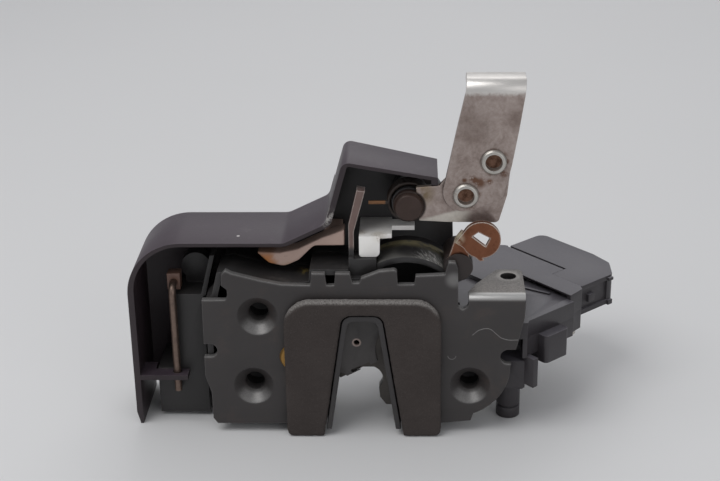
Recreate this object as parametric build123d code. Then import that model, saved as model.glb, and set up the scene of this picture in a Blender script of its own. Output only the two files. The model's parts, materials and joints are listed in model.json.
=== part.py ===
from build123d import *
import os
from math import acos, atan2, cos, degrees, hypot, pi, radians, sin

os.makedirs("parts", exist_ok=True)

# Vehicle door latch with its lock actuator, standing on its lower edges.
# Millimetres. +X runs to the right along the steel plate, +Y goes back into the door, +Z is up.
# Heights are measured here from the surface that the latch stands on; save() moves the whole
# latch down so that the origin is the axis of the latched striker, on the plate's front face.

# Striker and mouth
striker_radius = 4.25
striker_height = 34.5
mouth_top = 41.0
mouth_half_top = 6.0
mouth_half_foot = 12.1
mouth_corner = 3.2
mouth_gap = 0.3
liner_wall = 1.6

# Layers from front to back
pad_thick = 3.2
plate_thick = 2.0
case_depth = 13.0
case_floor = 2.0
case_wall = 1.8
back_plate_thick = 1.6
rear_depth = 10.4
rear_wall = 1.8

# Steel plate
plate_left = -48.1
plate_right = 48.7
plate_foot = 3.3
plate_top = 49.9
plate_tooth = 3.9
ear_height = 46.5
ear_length = 19.5
ear_left = 31.7
ear_hole_radius = 2.4
ear_hole_x = 44.2
ear_hole_y = 14.5
side_notch_radius = 2.15
side_notch_reach = 3.9
side_notch_height = 28.2
screw_places = [(-31.5, 39.7), (-33.5, 16.2), (32.4, 16.4)]
screw_radius = 3.0
screw_depth = 7.0
dimple_radius = 6.2
dimple_depth = 3.4

# Foam pad
pad_half = 23.7
pad_top = 46.0
pad_corner = 8.5
pad_foot_corner = 2.0

# Catch, the rotary fork that takes the striker
catch_x = 15.0
catch_height = 26.2
catch_front = 5.6
catch_thick = 4.0
catch_rim = 24.6
catch_pin_radius = 4.0
catch_hub = 9.0
sleeve_skin = 0.9
fork_angle = 208.75
fork_offset = -1.7
fork_clear = 0.15

# Pawl
pawl_x = -20.8
pawl_height = 26.1
pawl_pin_radius = 3.2
pawl_head_radius = 4.6
pawl_hub = 6.6
rivet_head = 1.2
pin_clear = 0.05
run_gap = 0.4

# Roof arch and right side of the latch case
case_right = 28.0
case_corner_height = 46.4
arch_height = 57.2
arch_front = 4.5
arch_start, arch_crown, arch_end = (4.4, arch_height - 2.2), (12.6, arch_height), (24.4, arch_height - 3.8)

# Outer lever and its rivets
lever_x = 13.9
lever_rise = 16.0
lever_height = arch_height + lever_rise
lever_front = 5.0
lever_thick = 2.0
extension_thick = 2.0
lever_pin_radius = 3.0
lever_pin_head = 4.5
tube_rivet_radius = 2.9
tube_rivet_wall = 0.45
tube_rivet_head = 3.9
extension_top = lever_height + 38.8
extension_fold = 8.5
extension_bend = 3.6

# Cover shroud
cover_wall = 1.9
roof_wall = 1.1
cover_front = 5.0
cover_back = 30.3
cover_left = -71.3
cover_top = 61.3
cover_corner = 17.0
hood_left = -5.4
hood_top = lever_height + 13.8
hood_right = 22.4
hood_right_top = lever_height + 8.9
hood_back_left = 25.6
hood_back_right = 21.2

# Eye lever
eye_post_x = case_right + 0.6
eye_post_height = case_corner_height + 8.4
eye_post_radius = 4.3
eye_pin_radius = 2.2
eye_radius = 5.7
eye_front = 0.4
eye_thick = 1.6

# Lock rod
rod_radius = 1.15
rod_x = -58.2
rod_y = 8.0
rod_foot = 10.4
rod_top = 43.0

# Side box beside the plate
box_left = -64.6
box_right = -49.0
box_front = 10.0
box_top = 42.4
box_foot = 1.4
box_step = 16.9
box_upper_left = rod_x + 0.6

# Actuator module, a flat box turned in plan
module_turn = -48.0
module_top = 38.0
tray_top = 36.4
module_foot = 24.6
module_wall = 1.8
socket_foot = 28.0
peg_x = 45.0
peg_y = 12.6
peg_radius = 3.7

# Shared places that follow from the sizes above
case_front = plate_thick
case_back = case_front + case_depth
floor_front = case_back - case_floor
rear_front = case_back + back_plate_thick
rear_back = rear_front + rear_depth
catch_back = catch_front + catch_thick
sleeve_front = catch_front - sleeve_skin
sleeve_back = catch_back + sleeve_skin


def slab(face, front, back):
    """A face drawn in X and Z, made solid from Y = front to Y = back."""
    return extrude(Plane.XZ.offset(-back) * face, back - front, dir=(0, -1, 0))


def shelf(face, foot, top):
    """A face drawn in X and Y, made solid from Z = foot to Z = top."""
    return extrude(Plane.XY.offset(foot) * face, top - foot, dir=(0, 0, 1))


def shape(*points):
    """A straight-edged face through the points, whichever way round they are given."""
    twice_area = sum(a[0] * b[1] - b[0] * a[1] for a, b in zip(points, points[1:] + points[:1]))
    return Polygon(*(points if twice_area > 0 else points[::-1]), align=None)


def disc(x, z, radius):
    return Pos(x, z) * Circle(radius)


def rounded(face, rounds):
    """Rounds the corner nearest to each place in rounds, given as (x, y, radius)."""
    for x, y, radius in rounds:
        corner = min(face.vertices(), key=lambda v: hypot(v.X - x, v.Y - y))
        face = fillet(corner, radius)
    return face


def save(name, solid):
    """Writes one piece, lowered so that the striker's axis lies at the origin."""
    export_step(Pos(0, 0, -striker_height) * solid, f"parts/{name}.step")


def post(x, z, front, back, radius):
    """A round bar along Y."""
    return slab(disc(x, z, radius), front, back)


def cone(x, z, front, back, front_radius, back_radius):
    """A round taper along Y."""
    place = Plane(origin=(x, front, z), z_dir=(0, 1, 0))
    return place * Cone(front_radius, back_radius, back - front,
                        align=(Align.CENTER, Align.CENTER, Align.MIN))


def stadium(start, end, radius):
    """A slot face from start to end with round ends."""
    dx, dz = end[0] - start[0], end[1] - start[1]
    length = hypot(dx, dz)
    nx, nz = -dz / length * radius, dx / length * radius
    middle = shape((start[0] + nx, start[1] + nz), (start[0] - nx, start[1] - nz),
                   (end[0] - nx, end[1] - nz), (end[0] + nx, end[1] + nz))
    return middle + disc(*start, radius) + disc(*end, radius)


def mouth(inset):
    """The tapering mouth, open at its foot, drawn in from the pad's cut-out by inset."""
    foot = -4.0
    top = mouth_top - inset
    slope = (mouth_half_foot - mouth_half_top) / mouth_top
    half_foot = mouth_half_foot - inset - slope * foot
    half_top = mouth_half_foot - inset - slope * top
    face = shape((-half_foot, foot), (half_foot, foot), (half_top, top), (-half_top, top))
    round_end = mouth_corner - inset / 2
    return rounded(face, [(-half_top, top, round_end), (half_top, top, round_end)])


def turned(point, centre, angle):
    """A point turned about centre by angle in degrees, from +X towards +Z."""
    dx, dz = point[0] - centre[0], point[1] - centre[1]
    c, s = cos(radians(angle)), sin(radians(angle))
    return centre[0] + dx * c - dz * s, centre[1] + dx * s + dz * c


def coil(x, z, front, mean_radius, wire_radius, half_turns, leg, start_angle, radial_leg=0.0):
    """A torsion spring about an axis along Y: half turns that each climb half a pitch, and its legs."""
    climb = wire_radius + 0.03
    place = Plane(origin=(x, front + wire_radius, z), z_dir=(0, 1, 0), x_dir=(1, 0, 0)) * Rot(0, 0,
                                                                                              start_angle)
    wire = Plane(origin=(mean_radius, 0, 0), z_dir=(0, 1, 0)) * Circle(wire_radius)
    half_turn = revolve(wire, Axis((0, 0, climb / 2), (climb, 0, 2 * mean_radius)), 180)
    spring = extrude(wire, -leg) if leg else Part()
    if radial_leg:
        spring += Pos(mean_radius, 0, 0) * Sphere(wire_radius)
        spring += Pos(mean_radius, 0, 0) * Rot(0, 90, 0) * Cylinder(
            wire_radius, radial_leg, align=(Align.CENTER, Align.CENTER, Align.MIN))
    for index in range(half_turns):
        spring += Rot(0, 0, 180 * index) * Pos(0, 0, climb * index) * half_turn
    end = Rot(0, 0, 180 * half_turns) * Pos(0, 0, climb * half_turns)
    spring += end * extrude(wire, leg or radial_leg)
    return place * spring


pad_plan = rounded(
    shape((-pad_half, 0), (pad_half, 0), (pad_half, pad_top), (-pad_half, pad_top)),
    [(-pad_half, pad_top, pad_corner), (pad_half, pad_top, pad_corner),
     (-pad_half, 0, pad_foot_corner), (pad_half, 0, pad_foot_corner)])
catch_pin = (catch_x, catch_height)
pawl_pin_place = (pawl_x, pawl_height)

# Foam pad with recesses for the two pivot heads
pad = slab(pad_plan - mouth(0), -pad_thick, 0)
for x, z, radius in ((*pawl_pin_place, pawl_head_radius), (*catch_pin, catch_pin_radius + 1.2)):
    pad -= post(x, z, -rivet_head - mouth_gap, 0, radius + mouth_gap)
save("foam_seal", pad)

# Steel plate, its top edge with two teeth, a hooked end and a raised right shoulder
ear_foot = ear_height - plate_thick
bend_radius = plate_thick + 0.6
bend_height = ear_height - bend_radius
tooth_top = plate_top + plate_tooth
plate_edge = Polyline(
    (33.6, 6.7), (32.8, 4.2), (24.0, plate_foot), (-45.3, plate_foot - 0.4), (-46.6, 4.8), (-46.7, 13.8),
    (plate_left - 0.3, 19.5), (plate_left, 45.1), (-41.0, 45.1), (-40.3, 46.4), (-40.4, 48.4),
    (-42.1, 49.9), (-41.8, 53.4), (-40.6, 54.8), (-38.8, 53.8), (-30.2, 51.5), (-23.9, 50.2),
    (-15.4, plate_top), (-15.0, tooth_top), (-11.0, tooth_top), (-10.6, plate_top), (-8.3, plate_top),
    (-7.9, tooth_top), (-3.6, tooth_top), (-2.8, 50.7), (-0.8, 50.7), (-0.2, 52.3), (5.2, 54.5),
    (9.6, 55.0), (10.4, 54.4), (10.6, 50.2), (15.5, 50.2), (15.9, 53.0), (24.6, 53.4), (25.6, 57.4),
    (27.6, 57.4), (28.4, 55.4), (28.6, 43.0), (30.0, 41.9), (31.3, 42.8), (ear_left, bend_height),
    (plate_right, bend_height), (48.5, 39.4), (46.9, 31.8), (45.9, 27.9), (44.6, 22.9))
plate_face = make_face([plate_edge, ThreePointArc((44.6, 22.9), (41.1, 12.3), (33.6, 6.7))])
notch_end = plate_left + side_notch_reach - side_notch_radius
side_notch = stadium((plate_left - 2, side_notch_height), (notch_end, side_notch_height), side_notch_radius)
right_notch = stadium((43.9, 26.2), (50.0, 26.2), 2.4)
plate_face -= mouth(0) + side_notch + right_notch
plate_face -= disc(*catch_pin, catch_pin_radius) + disc(*pawl_pin_place, pawl_pin_radius)
plate = slab(plate_face, 0, plate_thick)
bend = Circle(bend_radius) - Circle(bend_radius - plate_thick)
bend &= shape((-bend_radius, 0), (0, 0), (0, bend_radius), (-bend_radius, bend_radius))
bend_place = Plane(origin=(ear_left, bend_radius, bend_height), x_dir=(0, 1, 0), z_dir=(1, 0, 0))
plate += extrude(bend_place * bend, plate_right - ear_left)
ear_plan = shape((ear_left, bend_radius), (plate_right, bend_radius), (plate_right, ear_length - 1.5),
                 (plate_right - 1.2, ear_length), (40.8, ear_length), (34.2, 9.0), (ear_left, 3.4))
ear_plan -= disc(ear_hole_x, ear_hole_y, ear_hole_radius)
plate += shelf(ear_plan, ear_foot, ear_height)
for x, z in screw_places:
    plate += cone(x, z, plate_thick, plate_thick + dimple_depth, dimple_radius + 1.2, screw_radius + 2)
    plate += post(x, z, plate_thick + dimple_depth, screw_depth, screw_radius + 2)
for x, z in screw_places:
    plate -= cone(x, z, 0, dimple_depth, dimple_radius, screw_radius)
    plate -= post(x, z, dimple_depth, screw_depth, screw_radius)
save("latch_plate", plate)

# Plastic lining of the mouth, in front of the catch, with one web behind its left foot
liner_foot = 2.4
liner_front = 0.8 - pad_thick
liner_back = sleeve_front - run_gap
liner_ring = mouth(mouth_gap) - mouth(mouth_gap + liner_wall)
liner_ring &= shape((-20, liner_foot), (20, liner_foot), (20, mouth_top), (-20, mouth_top))
web_top = 11.0
liner_web = liner_ring & shape((-20, liner_foot), (0, liner_foot), (0, web_top), (-20, web_top))
liner = slab(liner_ring, liner_front, liner_back)
liner += slab(liner_web, liner_back, floor_front - 0.1)
save("mouth_liner", liner)

# The fork's own frame: u runs along the open slot, n across it, both from the catch pin
striker = (0.0, striker_height)
striker_reach = hypot(striker[0] - catch_x, striker[1] - catch_height)
striker_angle = degrees(atan2(striker[1] - catch_height, striker[0] - catch_x))
slot_radius = striker_radius + fork_clear
slot_n = fork_offset + slot_radius
closed_angle = striker_angle - 90 + degrees(acos(slot_n / striker_reach))
catch_travel = fork_angle - closed_angle
slot_u = striker_reach * cos(radians(striker_angle - closed_angle))


def fork(u, n, angle=fork_angle):
    """A point of the catch in X and Z, at rest unless another slot angle is given."""
    c, s = cos(radians(angle)), sin(radians(angle))
    return catch_x + u * c - n * s, catch_height + u * s + n * c


def rim(radius, angle):
    return catch_x + radius * cos(radians(angle)), catch_height + radius * sin(radians(angle))


rim_u = (catch_rim ** 2 - fork_offset ** 2) ** 0.5
arm_end = (17.0, 10.0)
slot_foot = (slot_u - 1.3, slot_n + (slot_radius ** 2 - 1.3 ** 2) ** 0.5)
hub = catch_hub + 1
catch_outline = make_face([
    ThreePointArc(fork(rim_u, fork_offset), rim(catch_rim, 185), rim(catch_rim, 165)),
    ThreePointArc(rim(catch_rim, 165), rim(catch_rim - 1.6, 150), rim(catch_rim - 5, 133)),
    Line(rim(catch_rim - 5, 133), rim(hub, 92)),
    ThreePointArc(rim(hub, 92), rim(hub, 30), rim(hub, -25)),
    Polyline(rim(hub, -25), fork(4, 12.5), fork(13, 15.2), fork(16.6, 13.2), fork(*arm_end),
             fork(rim_u, fork_offset))])
fork_slot = disc(*fork(slot_u, slot_n), slot_radius)
fork_slot += shape(fork(slot_u, fork_offset), fork(34, fork_offset), fork(34, 30),
                   fork(*arm_end), fork(*slot_foot), fork(slot_u - 1.5, slot_n))
peep_hole = disc(-2.1, 28.6, 0.9)
catch_face = catch_outline - fork_slot - peep_hole
pin_bore = disc(*catch_pin, catch_pin_radius + pin_clear)
catch = slab(catch_face - pin_bore, catch_front, catch_back)
save("catch", catch)

# Moulded sleeve round the catch's upper arm, bare at the hub and where the pawl bears
sleeve_face = offset(catch_outline, 0.8) - fork_slot - peep_hole
sleeve_face -= disc(*catch_pin, catch_hub + 2.4)
sleeve_face -= disc(*fork(rim_u, fork_offset), 2.4)
sleeve_face &= shape(fork(-20, fork_offset), fork(40, fork_offset), fork(40, -40), fork(-20, -40))
sleeve = slab(sleeve_face, sleeve_front, sleeve_back)
sleeve -= slab(catch_face, catch_front, catch_back)
sleeve -= slab(stadium((-3.4, 18.9), (1.5, 21.2), 0.6), sleeve_front, catch_front)
save("catch_sleeve", sleeve)

catch_shaft = post(*catch_pin, 0, rear_front, catch_pin_radius)
catch_shaft += cone(*catch_pin, -rivet_head, 0, catch_pin_radius + 0.6, catch_pin_radius + 1.2)
catch_shaft += cone(*catch_pin, rear_front, rear_front + 1.4, catch_pin_radius + 1.6, catch_pin_radius + 0.6)
save("catch_pivot", catch_shaft)

pawl_shaft = post(*pawl_pin_place, 0, rear_front, pawl_pin_radius)
pawl_shaft += cone(*pawl_pin_place, -rivet_head, 0, pawl_head_radius - 0.7, pawl_head_radius)
pawl_shaft += cone(*pawl_pin_place, rear_front, rear_front + 1.4, pawl_pin_radius + 1.6,
                   pawl_pin_radius + 0.6)
save("pawl_pivot", pawl_shaft)

# Pawl, drawn where it holds the closed catch and turned to where it rides on the open one
pawl_ride = 12.5
pawl_release = 7.0
pawl_points = [(-21.0, 32.7), (-12.0, 40.3), (-6.5, 43.4), (-4.0, 43.0), (-1.3, 40.8), (-3.2, 38.2),
               (-8.0, 35.6), (-14.2, 30.0), (-15.6, 22.0), (-22.0, 19.4), (-27.4, 22.0), (-27.4, 29.6)]
pawl_face = shape(*[turned(p, pawl_pin_place, pawl_ride) for p in pawl_points])
pawl_face += disc(*pawl_pin_place, pawl_hub)
follower_radius = 1.7
follower = turned((-12.6, 36.9), pawl_pin_place, pawl_ride)
follower_lifted = turned(follower, pawl_pin_place, pawl_release)
follower_path = stadium(follower, follower_lifted, follower_radius + run_gap)
pawl_face -= disc(*pawl_pin_place, pawl_pin_radius + pin_clear)
pawl = slab(pawl_face - disc(*follower, follower_radius), catch_front, catch_back)
save("pawl", pawl)
follower_back = rear_front + 5.0
save("pawl_follower_pin", post(*follower, catch_front, follower_back, follower_radius))

# Springs of the catch and pawl, between them and the case floor
spring_wire = 0.4
spring_half_turns = 3
spring_leg = 4.5
spring_front = sleeve_back + 0.25
spring_gap = 0.3
catch_coil = catch_pin_radius + 1 + spring_gap + spring_wire
pawl_coil = pawl_pin_radius + 1 + spring_gap + spring_wire
save("catch_spring",
     coil(*catch_pin, spring_front, catch_coil, spring_wire, spring_half_turns, spring_leg, 250))
save("pawl_spring",
     coil(*pawl_pin_place, spring_front, pawl_coil, spring_wire, spring_half_turns, spring_leg, 90))

# Latch case: a moulded tray behind the plate, open to the front
case_shoulder = 24.6
case_outline = make_face([
    Polyline(arch_end, (26.4, 50.2), (case_right, case_corner_height), (case_right, case_shoulder),
             (39.4, case_shoulder), (40.0, 17.0), (37.4, 10.5), (32.5, 5.8), (24.0, 4.0),
             (-44.6, 3.6), (-46.0, 6.0), (-46.2, 14.2), (-47.4, 20.0), (-47.4, 43.8), (-45.2, 46.0),
             (-43.4, 53.2), (-39.4, 53.6)),
    ThreePointArc((-39.4, 53.6), (-28.6, 50.8), (-16.0, 50.3)),
    Polyline((-16.0, 50.3), (-15.6, 54.2), (-4.1, 54.2), (-4.1, 51.4), (4.2, 51.4), arch_start),
    ThreePointArc(arch_start, arch_crown, arch_end)])
pocket = offset(case_outline, -case_wall, kind=Kind.INTERSECTION)
case = slab(case_outline, case_front, case_back) - slab(pocket, case_front, floor_front)
collar_radius = dimple_radius + 1.2
boss_radius = 8.0
for x, z in screw_places:
    case += post(x, z, case_front, floor_front, boss_radius) & slab(case_outline, case_front, floor_front)
    case -= cone(x, z, case_front, plate_thick + dimple_depth + 0.1, collar_radius + 0.1, screw_radius + 2.2)
    case -= post(x, z, case_front, screw_depth + 0.1, screw_radius + 2.2)
    case -= post(x, z, screw_depth, floor_front - 1, screw_radius + 0.4)
guide_wall = mouth(mouth_gap) - mouth(mouth_gap + liner_wall)
case += slab(guide_wall & case_outline, sleeve_back + run_gap, floor_front)
for place, radius in ((catch_pin, catch_pin_radius), (pawl_pin_place, pawl_pin_radius)):
    case += post(*place, sleeve_back + run_gap, floor_front, radius + 1.0)
    case -= post(*place, sleeve_back, case_back, radius)
case -= slab(mouth(mouth_gap + liner_wall), case_front, case_back)
case -= slab(mouth(mouth_gap - 0.1), case_front, liner_back) & Box(60, 60, 24)
case -= slab(mouth(mouth_gap - 0.1) & shape((-20, 0), (0, 0), (0, web_top + 0.2), (-20, web_top + 0.2)),
             case_front, floor_front)
case -= slab(follower_path, floor_front, case_back)
case -= slab(shape((arch_start[0] - 0.1, 51.4), (case_right, 51.4), (case_right, 60),
                   (arch_start[0] - 0.1, 60)),
             case_front, arch_front)
rim_relief = disc(*catch_pin, catch_rim + sleeve_skin + run_gap) & shape((0, 47), (10, 47), (10, 52),
                                                                         (0, 52))
case -= slab(rim_relief, case_front, floor_front)
save("latch_case", case)

# Rubber stops: one above the striker, one where the open catch's lower arm comes to rest
buffer_face = mouth(mouth_gap + liner_wall) - mouth(mouth_gap + liner_wall + 1.4)
buffer_face &= shape((-10, mouth_top - 8), (10, mouth_top - 8), (10, mouth_top), (-10, mouth_top))
save("striker_buffer", slab(buffer_face, sleeve_back + run_gap, case_back))
stop_radius, stop_gap = 2.6, 0.3
arm_heel, arm_toe = fork(4, 12.5), fork(13, 15.2)
arm_length = hypot(arm_heel[0] - arm_toe[0], arm_heel[1] - arm_toe[1])
stop_normal = ((arm_heel[1] - arm_toe[1]) / arm_length, (arm_toe[0] - arm_heel[0]) / arm_length)
stop_x = 0.7 * arm_heel[0] + 0.3 * arm_toe[0] + (stop_radius + stop_gap) * stop_normal[0]
stop_height = 0.7 * arm_heel[1] + 0.3 * arm_toe[1] + (stop_radius + stop_gap) * stop_normal[1]
save("catch_stop", post(stop_x, stop_height, catch_front, floor_front, stop_radius))

# Steel back plate that the two pivots are riveted into
back_face = shape((-40.0, 6.0), (-10.4, 6.0), (-8.6, 22.0), (-6.6, 43.0), (7.0, 43.0), (9.0, 22.0),
                  (12.0, 6.0), (24.0, 8.0), (25.5, 30.0), (24.0, 46.0), (-16.0, 47.0), (-38.0, 46.0),
                  (-43.0, 30.0))
back_face -= mouth(mouth_gap - 0.6) + follower_path
back_face -= disc(*catch_pin, catch_pin_radius) + disc(*pawl_pin_place, pawl_pin_radius)
save("back_plate", slab(back_face, case_back, rear_front))

# Rear case: the moulded box behind the back plate, with the tower that carries the levers
tower_front = rear_front + 4.4
tower_back = tower_front + 5.0
rear_right = 27.4
rear_outline = make_face([
    Polyline((rear_right, 24.0), (rear_right, 6.0), (14.0, 6.0), (12.6, 14.0), (-10.6, 14.0), (-12.0, 5.0),
             (-46.0, 4.0),
             (-46.0, 42.4), (-44.0, 45.6), (-42.6, 52.8), (-39.4, 53.2)),
    ThreePointArc((-39.4, 53.2), (-28.6, 50.4), (-16.0, 49.9)),
    Polyline((-16.0, 49.9), (-4.1, 51.0), (4.4, 51.0), (4.4, 46.0), (rear_right, 46.0), (rear_right, 24.0))])
rear_pocket = offset(rear_outline, -rear_wall, kind=Kind.INTERSECTION)
rear = slab(rear_outline, rear_front, rear_back) - slab(rear_pocket, rear_front, rear_back - rear_wall)
tower_face = shape((-9.0, 49.0), (-9.0, 63.0), (lever_x - 23.0, lever_height - 7.2),
                   (lever_x - 18.7, lever_height + 8.3), (lever_x - 13.3, lever_height + 9.0),
                   (lever_x + 6.1, lever_height + 5.4), (lever_x + 13.2, lever_height - 5.6),
                   (rear_right, arch_height), (rear_right, 44.0), (arch_start[0], 44.0),
                   (arch_start[0], 49.0))
rear += slab(tower_face, tower_front, tower_back)
arch_block = make_face([
    ThreePointArc(arch_start, arch_crown, arch_end),
    Polyline(arch_end, (26.4, 50.2), (rear_right, case_corner_height), (rear_right, 44.0),
             (arch_start[0], 44.0),
             arch_start)])
arch_hollow = offset(arch_block, -rear_wall, kind=Kind.INTERSECTION)
rear += slab(arch_block - arch_hollow, rear_front, tower_front)
arch_band = (arch_block - arch_hollow) & shape((0, 49), (30, 49), (30, 60), (0, 60))
rear += slab(arch_band, case_back, rear_front)
rear -= post(lever_x, lever_height, rear_front - 1, tower_back + 1, lever_pin_radius)
roof_left = make_face([
    ThreePointArc((-39.4, 53.6), (-28.6, 50.8), (-16.0, 50.3)),
    Line((-16.0, 50.3), (-16.0, 50.3 - case_wall)),
    ThreePointArc((-16.0, 50.3 - case_wall), (-28.6, 50.8 - case_wall), (-39.4, 53.6 - case_wall)),
    Line((-39.4, 53.6 - case_wall), (-39.4, 53.6))])
rear += slab(roof_left, case_back, rear_front + 0.5)
rear += slab(shape((-15.8, 50.2), (-4.1, 50.2), (-4.1, 54.2), (-15.6, 54.2)), case_back, rear_front + 3)

# Box beside the plate that the lock rod runs in front of, with its bearing disc and thin fin
box_face = shape((box_left, box_foot), (box_right, box_foot), (box_right, box_top),
                 (box_upper_left, box_top), (box_upper_left, box_step), (box_left, box_step))
side_box = slab(box_face, box_front, rear_back)
side_box -= slab(offset(box_face, -rear_wall, kind=Kind.INTERSECTION), box_front + rear_wall, rear_back + 1)
side_box += slab(shape((box_right - 1, 14), (-45.8, 14), (-45.8, 38), (box_right - 1, 38)),
                 rear_back - rear_wall, rear_back)
fin = shape((-49.8, box_top - 0.5), (-48.3, box_top - 0.5), (-45.0, 55.3), (-46.4, 55.3))
side_box += slab(fin, box_front, box_front + 11)
side_box += post(-52.0, 48.0, 18.5, 23.0, 4.6)
side_box += slab(shape((-55.5, box_top - 1), (-49.5, box_top - 1), (-49.5, 47), (-55.5, 47)), 19.0, 22.5)
rear += side_box

# Lug that reaches down behind, where the inside cable is clipped, and that the latch also stands on
lug_left, lug_right, lug_back = 10.0, 28.0, 44.0
lug = slab(shape((lug_left, 0.0), (lug_right, 0.0), (lug_right, 22.0), (lug_left, 22.0)), rear_back - 1,
           lug_back)
lug -= slab(shape((lug_left + 2, -1), (lug_right - 2, -1), (lug_right - 2, 20.0), (lug_left + 2, 20.0)),
            rear_back - 2, lug_back + 1)
lug += slab(shape((lug_left, 18.0), (rear_right, 18.0), (rear_right, module_foot - 0.3),
                  (lug_left, module_foot - 0.3)),
            rear_back - 1, rear_back + 1)
cable_slot_radius = 3.2
lug_middle = (lug_left + lug_right) / 2
lug_end = slab(shape((lug_left, 3.0), (lug_right, 3.0), (lug_right, 22.0), (lug_left, 22.0)),
               lug_back - 2.4, lug_back)
lug_end -= slab(stadium((lug_middle, 12.0), (lug_middle, -6.0), cable_slot_radius), lug_back - 3,
                lug_back + 1)
rear += lug + lug_end
inside_pin_x, inside_pin_height, inside_pin_radius = -14.0, 30.0, 2.5
rear += post(inside_pin_x, inside_pin_height, rear_back - 1, rear_back + 1.4, 5.0)
rear -= post(inside_pin_x, inside_pin_height, rear_back - rear_wall, rear_back + 2, inside_pin_radius)
rear -= slab(follower_path, rear_front - 1, follower_back + 0.6)
save("rear_case", rear)

# Inside lever behind the case, on its own pin, with the hole that takes the inside cable's end
inside_front = rear_back + 1.4 + 0.2
inside_thick, inside_reach, inside_hole = 2.0, (-2.0, 16.0), 1.6
inside_tail = (-16.5, 40.0)
inside_pin = (inside_pin_x, inside_pin_height)
inside_face = stadium(inside_pin, inside_reach, 3.6) + stadium(inside_pin, inside_tail,
                                                               3.0) + disc(*inside_pin, 5.4)
inside_face -= disc(*inside_pin, inside_pin_radius + pin_clear) + disc(*inside_reach, inside_hole)
save("inside_lever", slab(inside_face, inside_front, inside_front + inside_thick))
inside_axle = post(*inside_pin, rear_back - rear_wall, inside_front + inside_thick + 0.2, inside_pin_radius)
inside_axle += cone(*inside_pin, inside_front + inside_thick + 0.2, inside_front + inside_thick + 1.4,
                    inside_pin_radius + 1.4, inside_pin_radius + 0.6)
save("inside_lever_pin", inside_axle)

# Cover shroud: one bent moulded wall over the left side and top, with the hood over the levers
cover_outline = rounded(
    shape((cover_left, 0), (cover_left, cover_top), (-23.5, cover_top), (-10.9, 67.4), (hood_left, hood_top),
          (hood_right, hood_right_top), (hood_right, 0)),
    [(cover_left, cover_top, cover_corner), (-23.5, cover_top, 5.0), (-10.9, 67.4, 3.0),
     (hood_left, hood_top, 2.6)])
cover_inside = offset(cover_outline, -cover_wall, kind=Kind.INTERSECTION)
cover_inside += Pos(0, cover_wall - roof_wall) * cover_inside
cover_open = shape((cover_left + cover_wall, -5), (hood_right + 5, -5),
                   (hood_right + 5, hood_right_top - cover_wall - 0.4),
                   (hood_right - cover_wall - 0.5, hood_right_top - cover_wall - 0.4),
                   (hood_right - cover_wall - 0.5, 56), (cover_left + cover_wall, 56 - cover_corner))
cover_sheet = cover_outline - cover_inside - cover_open
cover = slab(cover_sheet, cover_front, cover_back)
cover -= shelf(shape((-9, cover_back + 1), (-9, hood_back_left), (hood_right + 1, hood_back_right),
                     (hood_right + 1, cover_back + 1)), 64, 90)
back_wall = cover_outline & shape((cover_left, 3), (-24, 3), (-24, 90), (cover_left, 90))
cover += slab(back_wall, cover_back - cover_wall, cover_back)
hood_back = cover_outline & shape((-24, 48), (-2, 48), (-2, 63), (-9, 63), (-9, 90), (-24, 90))
cover += slab(hood_back, cover_back - cover_wall, cover_back)
cover -= slab(shape((cover_left - 1, -1), (cover_left + 0.9, -1), (cover_left + 0.9, 0.5),
                    (cover_left - 1, 8)),
              cover_front - 1, cover_back + 1)
shelf_top, shelf_right = box_step, rod_x + 3.6
rod_guide = shelf(shape((cover_left + 1, cover_front), (shelf_right, cover_front),
                        (shelf_right, box_front - 0.3),
                        (box_left - 0.6, box_front - 0.3), (box_left - 0.6, 14.0), (cover_left + 1, 14.0)),
                  shelf_top - 1.6, shelf_top)
rod_guide -= shelf(Pos(rod_x, rod_y) * Circle(rod_radius + 0.3), shelf_top - 3, shelf_top + 1)
cover += rod_guide
save("cover_shroud", cover)

# Lock rod: a bent wire in the guide, hung from a moulded clip
bend_back = 6.0
rod = extrude(Plane.XY.offset(rod_foot) * Pos(rod_x, rod_y) * Circle(rod_radius), rod_top - rod_foot)
elbow = Plane(origin=(rod_x, rod_y, rod_top), x_dir=(0, 1, 0), z_dir=(1, 0, 0))
elbow_path = elbow * RadiusArc((0, 0), (2.5, 2.5), 2.5)
rod += sweep(Plane(origin=elbow_path @ 0, z_dir=elbow_path % 0) * Circle(rod_radius), path=elbow_path)
rod += extrude(Plane(origin=elbow_path @ 1, z_dir=elbow_path % 1) * Circle(rod_radius), bend_back)
save("lock_rod", rod)
clip_y, clip_z = rod_y + 2.5 + 1.4, rod_top + 2.5
clip = slab(shape((rod_x - 2.0, clip_z - 2.4), (rod_x + 2.0, clip_z - 2.4), (rod_x + 2.0, clip_z + 3.0),
                  (rod_x - 2.0, clip_z + 3.0)), clip_y, clip_y + 4.0)
clip -= slab(disc(rod_x, clip_z, rod_radius), clip_y - 1, clip_y + 5)
save("rod_clip", clip)

# Release bar: the pale bar under the cover whose lobe works the pawl's follower pin
bar_front, bar_back = 7.5, 13.5
bar_face = rounded(
    shape((-5.3, 59.6), (-14.6, 59.5), (-19.4, 54.6), (-23.6, 52.8), (-28.2, 53.8), (-32.0, 57.6),
          (-25.0, 57.2), (-19.5, 58.4), (-12.0, 62.2), (-5.3, 64.6)),
    [(-14.6, 59.5, 2.0), (-19.4, 54.6, 4.0), (-23.6, 52.8, 3.0), (-28.2, 53.8, 3.0)])
bar = slab(bar_face, bar_front, bar_back)
bar += slab(shape((-11.6, 60.4), (-6.2, 60.4), (-6.2, 63.0), (-11.6, 63.0)), bar_back, tower_front - 0.3)
save("release_bar", bar)

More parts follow.
